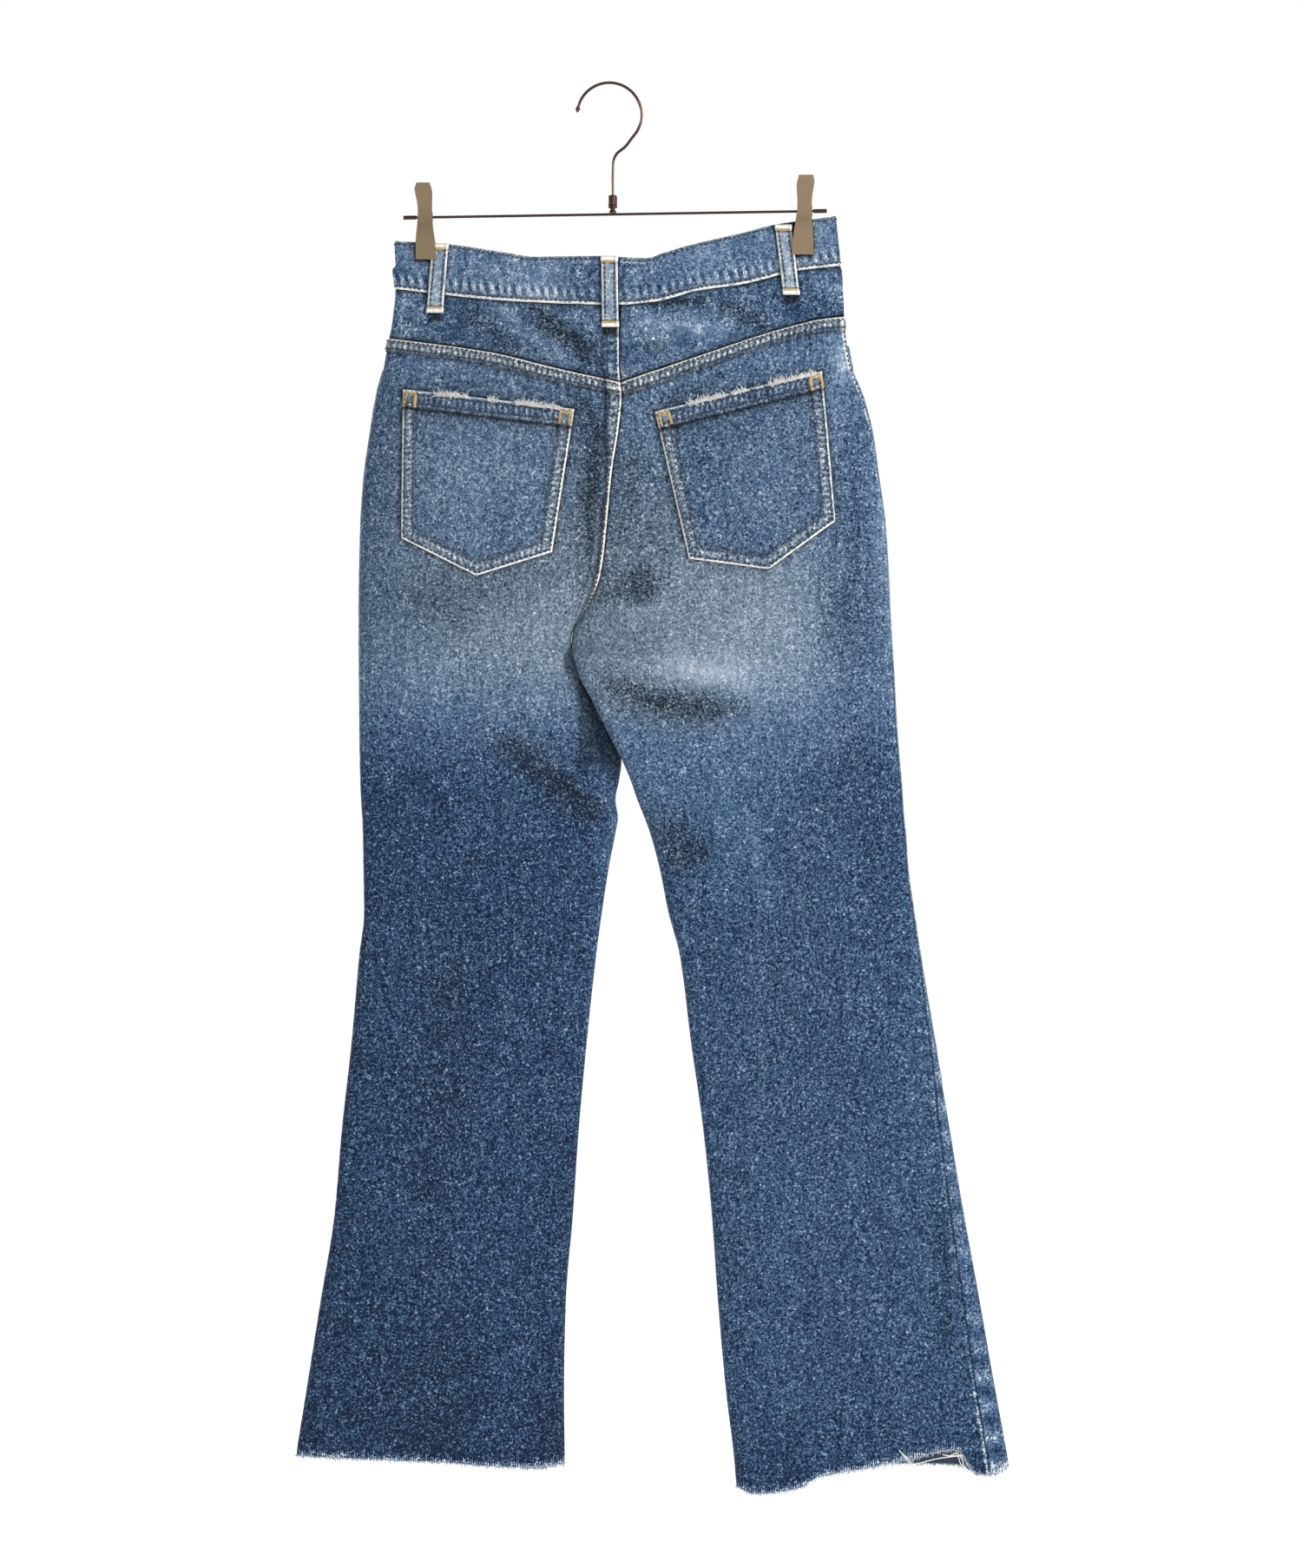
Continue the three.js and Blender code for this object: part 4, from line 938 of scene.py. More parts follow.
def panel_seams(side, leg, x, z, down, from_side, from_middle, up):
    """Relief, worn edges and painted shade along a panel's seams."""
    above_fork = ease((z + 452) / 26)
    below_fork = 1 - above_fork
    lift, edge, shade, grey, check = (np.zeros(z.shape) for _ in range(5))
    phase = x / CHECK_STEP
    if side == "back":
        lift += raised(down, BAND_WIDTH, 1.1)
        ripples = pucker(x, 25, 8.2)
        lift += 0.6 * ripples * bell(down - 14, 6) * ease((down - 9) / 2)
        check += 0.2 * bell(down - 5.6, 2.4)
        edge += 0.75 * bell(down - 0.7, 1.35) + 0.13 * bell(down - 5.6, 3)
        edge += 0.14 * ripples * bell(down - 14, 5)
        shade += 0.5 * bell(down - 3, 0.9) + 0.45 * bell(down - 8.4, 0.9) + 0.6 * bell(down - 11.3, 1.6)
        grey += 0.85 * bell(down - 5.5, 5)
    else:
        lift += raised(down, BAND_WIDTH, 0.5)
        edge += 0.35 * bell(down, 1.4)
        lift += 0.16 * pucker(x, 31, 5) * bell(down - 5, 3.4)
    if leg == "left":
        width = mix(2.4, MIDDLE_BAND, ease((z + 330) / 70)) if side == "back" else MIDDLE_BAND
        lift += raised(from_middle, width, 1) * above_fork
        edge += (0.75 * bell(from_middle - 0.5, 1.3) + 0.1 * bell(from_middle - width / 2, 3)) * above_fork
        shade += 0.6 * bell(from_middle - width - 1.5, 2.2) * above_fork
        beside = ease((from_middle - MIDDLE_BAND) / 2)
        check = mix(0.15 * bell(from_middle - width / 2, width / 3) * above_fork, check, beside)
        phase = mix(z / MIDDLE_CHECK_STEP, phase, beside)
        grey += 0.6 * bell(from_middle - width / 2, width / 2) * above_fork
    else:
        shade += (0.75 * bell(from_middle, 2) + 0.14 * bell(from_middle, 9)) * above_fork
    inseam = bell(from_middle, 1.2) * below_fork
    edge += 0.12 * inseam * (1 + wander(z, 45, 16))
    worn_outseam = ease((-z - 1010) / 120) + 0.8 * ease((z + 300) / 40)
    if leg == "right":
        lift += 0.25 * bell(from_side - 2, 2)
        ridge = 0.5 if side == "back" else 0.12
        edge += ridge * bell(from_side - 2, 1.3) * (0.15 + 0.85 * worn_outseam)
        shade += 0.75 * bell(from_side, 1) * ease((-z - 420) / 120)
        if side == "front":
            gathers = pucker(z, 51, 25) * ease((-z - 600) / 200)
            lift += 0.45 * gathers * bell(from_side - 7, 6)
            edge += (0.05 + 0.2 * gathers) * bell(from_side - 7, 10)
        else:
            gathers = pucker(z, 53, 14) * (0.6 + 0.8 * ease((-z - 900) / 120))
            lift += 0.4 * gathers * bell(from_side - 5, 4)
            edge += 0.12 * gathers * bell(from_side - 5, 6)
    else:
        edge += 0.1 * bell(from_side, 1.2) * (1 + wander(z, 57, 20))
        lift += 0.22 * pucker(z, 55, 15) * bell(from_side - 5, 4)
    edge += 0.34 * bell(up, 3) * (1 + 0.6 * wander(x, 61, 5))
    at_hem = ease(1 - up / 8)
    phase = mix(phase, x / HEM_STRAND, ease(1 - (up - 9) / 4))
    check += 0.26 * at_hem
    lift -= 0.3 * bell(up, 1.2)
    shade = np.minimum(shade + laps_shade(side, x, z), DARKEST)
    return lift, {"edge": edge, "shade": shade, "grey": grey, "check": check, "phase": phase}


def make_panel(side, leg):
    u = PANEL_SHARES[None, :]
    rows = open_rows(900, 24, 1, 3.4, 6)[:, None]
    top = panel_top(side, leg, u)
    z = mix(top, hem_height(side, leg, u), rows)
    facing = (0, -1, 0) if side == "back" else (0, 1, 0)
    cloth = Cloth(panel_point(side, leg, u + 0 * z, z), facing)
    from_side = cloth.along(1)
    from_middle = from_side[:, -1:] - from_side
    down = cloth.along(0)
    up = down[-1:] - down
    x = cloth.base[..., 0]
    down = down * lean_of(top, x[:1])
    lift, wear = panel_seams(side, leg, x, z, down, from_side, from_middle, up)
    wear["grey"] = np.clip(wear["grey"] + grey_at(side, x, z), 0, 1)
    cloth.lift(lift)
    cloth.fields = {"down": down, "from_side": from_side, "to_middle": -from_middle}
    return dress(
        cloth,
        f"cloth_{side}_{leg}",
        f"{side}_{leg}",
        DENIM,
        fade=fade_and_shade_at(side, x, z),
        flecks=fleck_at(z),
        **wear,
    )


def lean_of(height, x):
    """How much shorter the way straight across a slanting seam is than the way down from it."""
    slope = np.clip(np.gradient(height[0]) / np.gradient(x[0]), -1.5, 1.5)
    return 1 / np.sqrt(1 + slope**2)[None, :]


def make_yoke(leg):
    u = np.linspace(0, 1, 101)[None, :]
    rows = np.linspace(0, 1, 45)[:, None]
    z = mix(waist_height("back", leg, u) - 0.2, yoke_height("back", leg, u) - 3, rows)
    cloth = Cloth(panel_point("back", leg, u + 0 * z, z), (0, -1, 0))
    x = cloth.base[..., 0]
    down = cloth.along(0)
    up = down[-1:] - down - 3
    from_side = cloth.along(1)
    from_middle = from_side[:, -1:] - from_side
    lift = 0.3 * pucker(x, 71, 9) * bell(down - 4, 5) + 0.16 * pucker(x, 73, 6) * bell(up - 4, 4)
    folds = rumple(x + 0.6 * z, z, 75, 17, 15)
    lift += (0.9 * folds + 0.3 * rumple(x, z, 76, 7, 6)) * ease(up / 8) - 0.5 * ease((2 - up) / 3)
    edge = 0.1 * pucker(x, 71, 9) * bell(down - 4, 5) + 0.07 * folds + 0.07 * rumple(x, z, 78, 9, 6)
    shade = 0.9 * bell(up - 0.4, 1.7) + 0.22 * bell(up, 6) + 0.7 * bell(down, 1.9) + 0.14 * bell(down, 7)
    shade += laps_shade("back", x, z)
    check = 0 * x
    if leg == "left":
        lift += raised(from_middle, MIDDLE_BAND, 1)
        check += 0.15 * bell(from_middle - 6, 3.6) * ease((-z - 208) / 10)
        edge += 0.75 * bell(from_middle - 0.5, 1.3)
        shade += 0.5 * bell(from_middle - MIDDLE_BAND - 1.2, 1.6)
        shade += 0.35 * bell(from_middle - 2.6, 0.9) + 0.35 * bell(from_middle - 9.8, 0.9)
    else:
        shade += 0.75 * bell(from_middle, 2) + 0.14 * bell(from_middle, 9)
    cloth.lift(lift)
    cloth.fields = {"to_middle": -from_middle}
    return dress(
        cloth,
        f"cloth_yoke_{leg}",
        f"yoke_{leg}",
        DENIM,
        fade=fade_and_shade_at("back", x, z),
        grey=grey_at("back", x, z),
        flecks=fleck_at(z),
        edge=edge,
        shade=np.minimum(shade, DARKEST),
        check=check,
        phase=z / MIDDLE_CHECK_STEP,
    )


BAND_START = -98
BAND_END = 274.5
LAP_RAMP = 16
SEAM_GAP = 0.3
BAND_COLUMNS = 560
BAND_ROWS = 27


def band_point(angle, share):
    """The waistband's outer face: angle in degrees round the waist, share from its top edge down."""
    turn = np.radians(angle)
    x = tube_point("hips", BAND_LEVEL + 0 * turn, turn, WAIST_ROLL)[..., 0]
    back = (angle > 0) & (angle < 180)
    sag = np.where(back, 0, front_sag("front", x))
    z = mix(band_top(x), band_bottom(x), share) - sag
    under = ease((-90 + LAP_RAMP - angle) / LAP_RAMP)
    over = ease((angle - 270 + LAP_RAMP) / LAP_RAMP)
    lap = (over - under) * (BAND_CLOTH + SEAM_GAP) / 2
    return tube_point("hips", z, turn, roll_at(z) + BAND_PROUD + lap)


def even_angles(count):
    """Angles round the waist at even steps of length."""
    angles = np.linspace(BAND_START, BAND_END, 1600)
    line = band_point(angles, 0.5)
    steps = np.linalg.norm(np.diff(line, axis=0), axis=-1)
    run = np.concatenate([[0], np.cumsum(steps)])
    return np.interp(np.linspace(0, run[-1], count), run, angles)


def waist_loops_shade(points):
    x = points[..., 0]
    z = points[..., 2]
    back = points[..., 1] < 0
    return np.where(back, laps_shade("back", x, z), laps_shade("front", x, z))


PATCH_STITCHED = (-0.9, -159.1, 32, 9)   # middle x and z, half its width and height


# Foot of each clip's plate: left, right and height, and how far up the plate narrows and by how much
CLIP_FEET = [(-160.6, -143.7, -145), (148.5, 166.7, -141)]
CLIP_LEAN = 0.06


def clips_shade(x, z):
    """Painted shadow of a clip on the waistband round its foot."""
    shade = np.zeros(x.shape)
    for left, right, foot in CLIP_FEET:
        half = (right - left) / 2 - CLIP_LEAN * np.maximum(z - foot, 0)
        beside = np.maximum(np.abs(x - (left + right) / 2) - half, 0)
        below = np.maximum(foot - z, 0)
        shade += 0.85 * bell(np.hypot(beside, below * 0.8), 2.1)
    return shade


def distance_in(x, z, middle_x, middle_z, half_width, half_height):
    """Distance from a rectangle's outline, less than 0 inside it."""
    across = np.abs(x - middle_x) - half_width
    up = np.abs(z - middle_z) - half_height
    return np.hypot(np.maximum(across, 0), np.maximum(up, 0)) + np.minimum(np.maximum(across, up), 0)


def make_waistband():
    angle = even_angles(BAND_COLUMNS)[None, :]
    share = np.linspace(0, 1, BAND_ROWS)[:, None]
    base = band_point(angle + 0 * share, share + 0 * angle)
    cloth = Cloth(base, base * (0.001, 1, 0))
    x = base[..., 0]
    z = base[..., 2]
    down = cloth.along(0)
    up = down[-1:] - down
    run = cloth.along(1)
    end = run[:, -1:] - run
    rope = np.sin(math.tau * run / ROPE_STEP)
    lift = 0.35 * rope * bell(up - 8.5, 4) + 0.12 * pucker(run, 83, 5) * bell(down - 4, 3)
    lift += 0.45 * rumple(run, z, 85, 15, 12) * ease(up / 6) * ease(down / 5)
    rounding = np.minimum.reduce([down, up, run, end])
    lift -= 0.9 * (1 - ease(rounding / 1.6))
    lift += 0.25 * bell(up - 1.2, 1.4)
    edge = 0.75 * bell(up - 0.3, 1.4) + 0.26 * bell(down - 0.6, 1) + 0.03 * bell(up - 6, 5)
    edge += 0.05 * rumple(run, z, 87, 14, 9) + 0.05 * rumple(run + 1.5 * z, z, 88, 6, 5) * ease(up / 14)
    check = 0.17 * (1 + 0.5 * wander(run, 84, 60)) * bell(up - 9.5, 4.3)
    side = np.where(base[..., 1] < 0, 1, 0)
    centre_dark = 0.03 * bell(x - 30, 40) * side
    left_pale = 0.11 * bell(x + 58, 20) * side
    outline = distance_in(x, z, *PATCH_STITCHED)
    inside = ease(-outline / 2) * side
    edge += 0.3 * bell(outline - 2, 1.2) * side * ease((z + 160) / 6) * (0.5 + 0.5 * wander(run, 86, 4))
    edge += 0.22 * inside * (bell(x + 25, 3.6) + bell(x - 20, 4.4)) * bell(z + 159, 6)
    shade = 0.5 * bell(up - 3.4, 0.9) + 0.34 * bell(down - 1.7, 0.9)
    shade += waist_loops_shade(base) + clips_shade(x, z) * side
    shade += 0.42 * bell(outline, 1.1) * side
    cloth.lift(lift)
    cloth.fields = {"down": down, "to_foot": -up}
    return dress(
        cloth,
        "cloth_waistband",
        "waistband",
        BAND_CLOTH,
        inner="denim",
        fade=0.52 - centre_dark - 0.06 * inside + left_pale + 0.05 * rumple(run, z, 89, 30, 24),
        grey=0.12 + 0.4 * bell(up - 4, 4),
        flecks=0.9,
        edge=edge,
        shade=np.minimum(shade, DARKEST),
        check=check,
        phase=run / ROPE_STEP,
    )


# Back patch pockets

POCKET_SEAT = 0.5
POCKET_BORDER = 10
POCKET_TOP_HEM = 13
POCKET_FADE = {"left": 0.46, "right": 0.41}


def pocket_place(corners, u, v):
    top_left, top_right, low_right, tip, low_left = (np.array(corner, float) for corner in corners)
    u = u[..., None]
    v = v[..., None]
    across = mix(mix(top_left, low_left, v), mix(top_right, low_right, v), u)
    drop = (tip - (low_left + low_right) / 2) * (1 - np.abs(2 * u - 1))
    return across + drop * v**2


def distance_to(places, one, other):
    one = np.array(one, float)
    way = np.array(other, float) - one
    share = np.clip(((places - one) @ way) / (way @ way), 0, 1)
    return np.linalg.norm(places - one - share[..., None] * way, axis=-1)


def even_with_borders(count, length, border):
    """Shares along a length, closer together in the borders at both ends."""
    edge = np.linspace(0, border, count // 3)
    middle = np.linspace(border, length - border, count // 3 + 2)[1:-1]
    return np.concatenate([edge, middle, length - edge[::-1]]) / length


def make_pocket(name, corners):
    u = even_with_borders(96, 132, 16)[None, :]
    v = even_with_borders(96, 132, 20)[:, None]
    places = pocket_place(corners, u + 0 * v, v + 0 * u)
    x = places[..., 0]
    z = places[..., 1]
    base = np.stack([x, surface_y("back", x, z) - POCKET_SEAT, z], -1)
    cloth = Cloth(base, (0, -1, 0))
    top_left, top_right, low_right, tip, low_left = corners
    top = distance_to(places, top_left, top_right)
    sides = np.minimum(distance_to(places, top_left, low_left), distance_to(places, top_right, low_right))
    foot = np.minimum(distance_to(places, low_left, tip), distance_to(places, tip, low_right))
    rim = np.minimum(sides, foot)
    nearest = np.minimum(rim, top)
    lift = DENIM * np.sqrt(1 - (1 - np.clip(nearest / 1.5, 0, 1)) ** 2)
    lift += raised(rim, POCKET_BORDER, 0.55) + 0.6 * (1 - ease((top - POCKET_TOP_HEM) / 1.4))
    lift += 0.2 * pucker(x, 93, 6) * bell(top - 7, 5)
    lift += 0.4 * rumple(x, z, 95, 26, 34) * ease(rim / 14)
    lift += 0.7 * bell(top, 9) * np.sin(math.pi * u) * np.ones_like(v)
    edge = 0.72 * bell(rim - 0.3, 1.4) + 0.6 * bell(top, 1.6)
    edge += 0.14 * bell(foot, 2.6) + 0.12 * bell(rim - 6.5, 3) + 0.1 * bell(top - POCKET_TOP_HEM, 1.2)
    hem = bell(top - 7, 3)
    check = 0.13 * bell(rim - 5.6, 2.2) * (1 - hem) + 0.15 * hem * ease((rim - 11) / 2)
    shade = 0.3 * bell(rim - POCKET_BORDER - 1.4, 1.4) + 0.65 * bell(top - POCKET_TOP_HEM - 2.2, 2)
    shade += 0.25 * bell(top - POCKET_TOP_HEM - 5, 6) + 0.12 * hem
    shade += 0.42 * bell(rim - 2.8, 0.8) + 0.45 * bell(top - 3.4, 0.9) + 0.4 * bell(top - 10.8, 0.9)
    middle_x = (low_left[0] + low_right[0]) / 2
    worn = 0.05 * bell(x - middle_x, 40) * bell(z + 320, 45)
    cloth.lift(lift)
    return dress(
        cloth,
        f"cloth_pocket_{name}",
        f"back_pocket_{name}",
        lift + 0.1,
        # The fade also holds the painted shade and painted highlight of the folds
        fade=POCKET_FADE[name] + worn + 0.02 * rumple(x, z, 97, 30, 30) + fold_shading("back", x, z),
        grey=np.clip(0.3 + 0.5 * bell(rim - 5, 5), 0, 1),
        flecks=1.1,
        edge=edge,
        shade=np.minimum(shade, DARKEST),
        check=check,
        phase=np.where(np.minimum(top, foot) < rim + 1, x, z) / CHECK_STEP,
    )


# Belt loops, fly and pocket facings

LOOP_FOLD = 5                      # height of the rolled folds at a loop's ends


def make_loop(name, row):
    side, top_x, top_z, low_x, low_z = row
    way = -1 if side == "back" else 1
    u = np.linspace(0, 1, 23)[None, :]
    v = even_with_borders(60, 60, 9)[:, None]
    length = math.hypot(low_x - top_x, low_z - top_z)
    ends = np.minimum(v, 1 - v) * length + 0 * u
    rolled = bell(ends - 2.3, 2.2)
    x = mix(top_x, low_x, v) + (u - 0.5) * LOOP_WIDTH * (1 + 0.08 * rolled)
    z = mix(top_z, low_z, v) + 0 * u
    bow = LOOP_BOW * np.sin(v * math.pi)
    seat = mix(BAND_PROUD, 0, ease((v - 0.86) / 0.12)) + LOOP_SEAT
    base = np.stack([x, surface_y(side, x, z) + way * (seat + bow), z], -1)
    cloth = Cloth(base, (0, way, 0))
    from_edge = np.minimum(u, 1 - u) * LOOP_WIDTH + 0 * v
    rounding = np.sqrt(1 - (1 - np.clip(np.minimum(from_edge, ends) / 1.1, 0, 1)) ** 2)
    lift = (LOOP_CLOTH - 0.4) * rounding + 0.5 * bell(from_edge - 1.4, 1.2)
    lift += 1.3 * rolled - 0.3 * bell(ends - LOOP_FOLD - 0.6, 0.8)
    edge = 0.4 * bell(from_edge - 0.4, 0.9) * (1 + 0.4 * wander(z, 101, 4)) + 0.5 * rolled
    edge += 0.06 * rumple(x, z, 103, 5, 8)
    inner = 1 - bell(ends, 4.5)
    cloth.lift(lift)
    return dress(
        cloth,
        f"belt_loop_cloth_{name}",
        f"belt_loop_{name}",
        lift + 0.2,
        fade=0.71,
        grey=0.45,
        flecks=1.2,
        edge=edge,
        shade=0.6 * bell(from_edge - 2.5, 0.7) * inner + 0.55 * bell(ends - LOOP_FOLD - 0.8, 0.9),
    )


FLY_WIDTH = 38
FLY_LENGTH = 150
FLY_CLOTH = 1.2
FLY_SEAT = 0.5


def fly_place(u, v):
    top = band_bottom(-18) - front_sag("front", np.float64(-18)) - 1.5
    z = top - FLY_LENGTH * v
    width = FLY_WIDTH * np.sqrt(1 - 0.94 * ease((v - 0.62) / 0.4) ** 2)
    return inner_left(z) + 1 - width * (1 - u), z + 0 * u


def make_fly():
    u = np.linspace(0, 1, 34)[None, :]
    v = np.linspace(0, 1, 90)[:, None]
    x, z = fly_place(u, v)
    base = np.stack([x, surface_y("front", x, z) + FLY_SEAT, z], -1)
    cloth = Cloth(base, (0, 1, 0))
    from_side = cloth.along(1)
    from_middle = from_side[:, -1:] - from_side
    foot = (1 - v) * FLY_LENGTH
    nearest = np.minimum(np.minimum(from_side, from_middle), foot)
    lift = FLY_CLOTH * np.sqrt(1 - (1 - np.clip(nearest / 1.2, 0, 1)) ** 2)
    lift += 0.18 * pucker(z, 111, 7) * bell(from_middle - 4, 4)
    lift += 0.3 * rumple(x, z, 113, 14, 22) * ease(nearest / 5)
    cloth.lift(lift)
    return dress(
        cloth,
        "cloth_fly",
        "fly_lap",
        lift + 0.1,
        fade=fade_and_shade_at("front", x, z) - 0.02,
        grey=grey_at("front", x, z),
        flecks=fleck_at(z),
        edge=0.4 * bell(from_middle, 1.2) + 0.12 * bell(from_side, 1.2),
    )


FACING_INSIDE = DENIM + 0.5
FACING_LAP = 14
FACING_CLOTH = 1


def make_facing(leg):
    u = np.linspace(0, 0.56, 44)[None, :]
    v = np.linspace(0, 1, 50)[:, None]
    share = u + EVENNESS * np.sin(math.pi * u) / math.pi
    top = waist_height("front", leg, u) - 0.2
    low = top - mouth_drop(share * 0.92) - FACING_LAP
    z = mix(top, low, v)
    cloth = Cloth(panel_point("front", leg, u + 0 * z, z), (0, 1, 0))
    x = cloth.base[..., 0]
    cloth.lift(np.full(x.shape, -FACING_INSIDE) + 0.3 * rumple(x, z, 115, 14, 14))
    return dress(
        cloth,
        f"cloth_facing_{leg}",
        f"pocket_facing_{leg}",
        FACING_CLOTH,
        fade=0.44,
        grey=0.1,
        flecks=1.0,
    )


# Thread: stitches, bar tacks and fray. A line is rows of points and normals in mm.

STITCH = 2.7                       # length on the face, and the gap where the thread dives
STITCH_GAP = 1.1
THREAD = 0.6                       # radius
STITCH_SIDES = 5


class Strands:
    """Gathers many thin tubes into one mesh."""

    def __init__(self):
        self.points = []
        self.faces = []
        self.count = 0

    def tube(self, path, radii, sides, across):
        """A closed tube along each of many paths at once: (paths, points, 3)."""
        path = np.asarray(path, float)
        paths, length = path.shape[:2]
        way = unit(np.gradient(path, axis=1))
        one = unit(np.cross(way, across))
        other = np.cross(way, one)
        angle = np.arange(sides) * math.tau / sides
        turn = (np.cos(angle)[:, None] * one[:, :, None] + np.sin(angle)[:, None] * other[:, :, None])
        radii = np.broadcast_to(radii, (paths, length))
        rings = path[:, :, None] + turn * radii[:, :, None, None]
        size = length * sides
        around = quads(length, sides, True)
        first = np.arange(sides)[::-1]
        last = np.arange(sides) + (length - 1) * sides
        for k in range(paths):
            start = self.count + k * size
            self.faces += (around + start).tolist()
            self.faces.append((first + start).tolist())
            self.faces.append((last + start).tolist())
        self.points.append(rings.reshape(-1, 3))
        self.count += paths * size

    def build(self, name, material, slot):
        piece = make_mesh(name, np.concatenate(self.points), self.faces, None, [material])
        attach(piece, "root")
        return piece


def resample(line, step, start=0.0, stop=None):
    """Points at even steps along a line, with whatever columns it has."""
    steps = np.linalg.norm(np.diff(line[:, :3], axis=0), axis=-1)
    run = np.concatenate([[0], np.cumsum(steps)])
    stop = run[-1] if stop is None else min(stop, run[-1])
    places = np.arange(start, stop, step)
    return np.stack([np.interp(places, run, column) for column in line.T], axis=1)


def sew(strands, line, start=1.0, stop=None, length=STITCH, gap=STITCH_GAP, radius=THREAD):
    """A row of stitches along a line: each rises from the cloth and dives back."""
    fine = resample(line, length / 4, start, stop)
    every = max(4, round((length + gap) / (length / 4)))
    stitches = (len(fine) - 5) // every
    if stitches < 1:
        return
    index = np.arange(stitches)[:, None] * every + np.arange(5)[None, :]
    points = fine[index][..., :3]
    normals = fine[index][..., 3:6]
    arch = np.array([-0.5, 0.45, 0.7, 0.45, -0.5]) * radius
    points = points + normals * arch[None, :, None]
    radii = radius * np.array([0.6, 1, 1, 1, 0.6])
    strands.tube(points, radii[None, :], STITCH_SIDES, normals)


def tack(strands, line, width=2.4, spacing=0.62, radius=0.36):
    """A bar tack: stitches close together across a short line."""
    fine = resample(line, spacing)
    way = np.gradient(fine[:, :3], axis=0)
    normals = fine[:, 3:6]
    across = unit(np.cross(way, normals))
    reach = np.array([-0.5, -0.3, 0, 0.3, 0.5]) * width
    rise = np.array([-0.2, 0.6, 1, 0.6, -0.2]) * radius
    points = (
        fine[:, None, :3]
        + across[:, None] * reach[None, :, None]
        + normals[:, None] * rise[None, :, None]
    )
    strands.tube(points, radius, STITCH_SIDES, normals[:, None] + 0 * points)


def fray(strands, line, rng, spacing, longest, way, spread=0.5, radius=0.28, lift=0.3):
    """Loose thread ends that grow from a line in a direction, each curled its own way."""
    roots = resample(line, spacing)
    count = len(roots)
    roots[:, :3] += rng.normal(0, 0.25, (count, 3))
    length = longest * (0.3 + 0.7 * rng.random(count) ** 1.6)
    heading = np.array(way, float) + rng.normal(0, spread, (count, 3))
    heading[:, 1] *= 0.5
    heading = unit(heading)
    curl = rng.normal(0, 0.45, (count, 3))
    share = np.linspace(0, 1, 5)[None, :, None]
    normals = roots[:, None, 3:6]
    path = (
        roots[:, None, :3]
        + heading[:, None] * share * length[:, None, None]
        + curl[:, None] * share**2 * length[:, None, None] * 0.5
        + normals * lift * share
    )
    radii = radius * np.array([1, 1, 0.85, 0.6, 0.25])
    strands.tube(path, radii[None, :], 4, normals + 0 * path + 0.01)


def joined(*points):
    """A line of close points through some corners."""
    corners = np.array(points, float)
    runs = [np.linspace(a, b, 60, endpoint=False) for a, b in zip(corners, corners[1:])]
    return np.concatenate([*runs, corners[-1:]])


def on_cloth(cloth, side, flat_line):
    """Lays a line of x and z on a cloth's outer face."""
    way = -1 if side == "back" else 1
    y = surface_y(side, flat_line[:, 0], flat_line[:, 1]) + way * 4
    return cloth.snap(np.stack([flat_line[:, 0], y, flat_line[:, 1]], axis=1))


def inset_corners(corners, distance):
    """Corners of a closed outline moved inwards from each edge by a distance."""
    points = np.array(corners, float)
    count = len(points)
    area = sum(points[i][0] * points[(i + 1) % count][1] - points[(i + 1) % count][0] * points[i][1]
               for i in range(count))
    moved = []
    for i in range(count):
        before = points[i] - points[i - 1]
        after = points[(i + 1) % count] - points[i]
        normals = []
        for way in (before, after):
            unit = way / np.linalg.norm(way)
            normals.append(np.array([-unit[1], unit[0]]) * np.sign(area))
        middle = normals[0] + normals[1]
        moved.append(points[i] + middle * distance * 2 / (middle @ middle))
    return moved


OUTSEAM_STITCH_END = -276


def sew_seams(strands, cloths):
    """The double rows along the yoke, the middle back seam and the waistband, and a single row along the
    outseam.
    """
    for leg in ("left", "right"):
        back = cloths["back", leg]
        for distance in (1.9, 8.4):
            sew(strands, back.row_line("down", distance))
        front = cloths["front", leg]
        for distance in (2, 8.5):
            sew(strands, front.row_line("down", distance)[14:60])
    band = cloths["waistband"]
    sew(strands, band.row_line("to_foot", -2.4), 2)
    sew(strands, band.row_line("down", 2.4), 2)
    for distance in (1.9, 9.6):
        yoke_line = cloths["yoke", "left"].column_line("to_middle", -distance)
        sew(strands, yoke_line)
        seam = cloths["back", "left"].column_line("to_middle", -distance)
        above_fork = seam[:, 2] > CROTCH + 16
        sew(strands, seam[above_fork][6:])
    outseam = cloths["back", "right"].column_line("from_side", 1.8)
    sew(strands, outseam[outseam[:, 2] > OUTSEAM_STITCH_END][6:])


# Where each pocket's upper edge has worn through: start and end as shares of its width
TORN = {
    "left": [(0.19, 0.38), (0.5, 0.55), (0.66, 0.92)],
    "right": [(0.2, 0.42), (0.46, 0.54), (0.68, 0.96)],
}


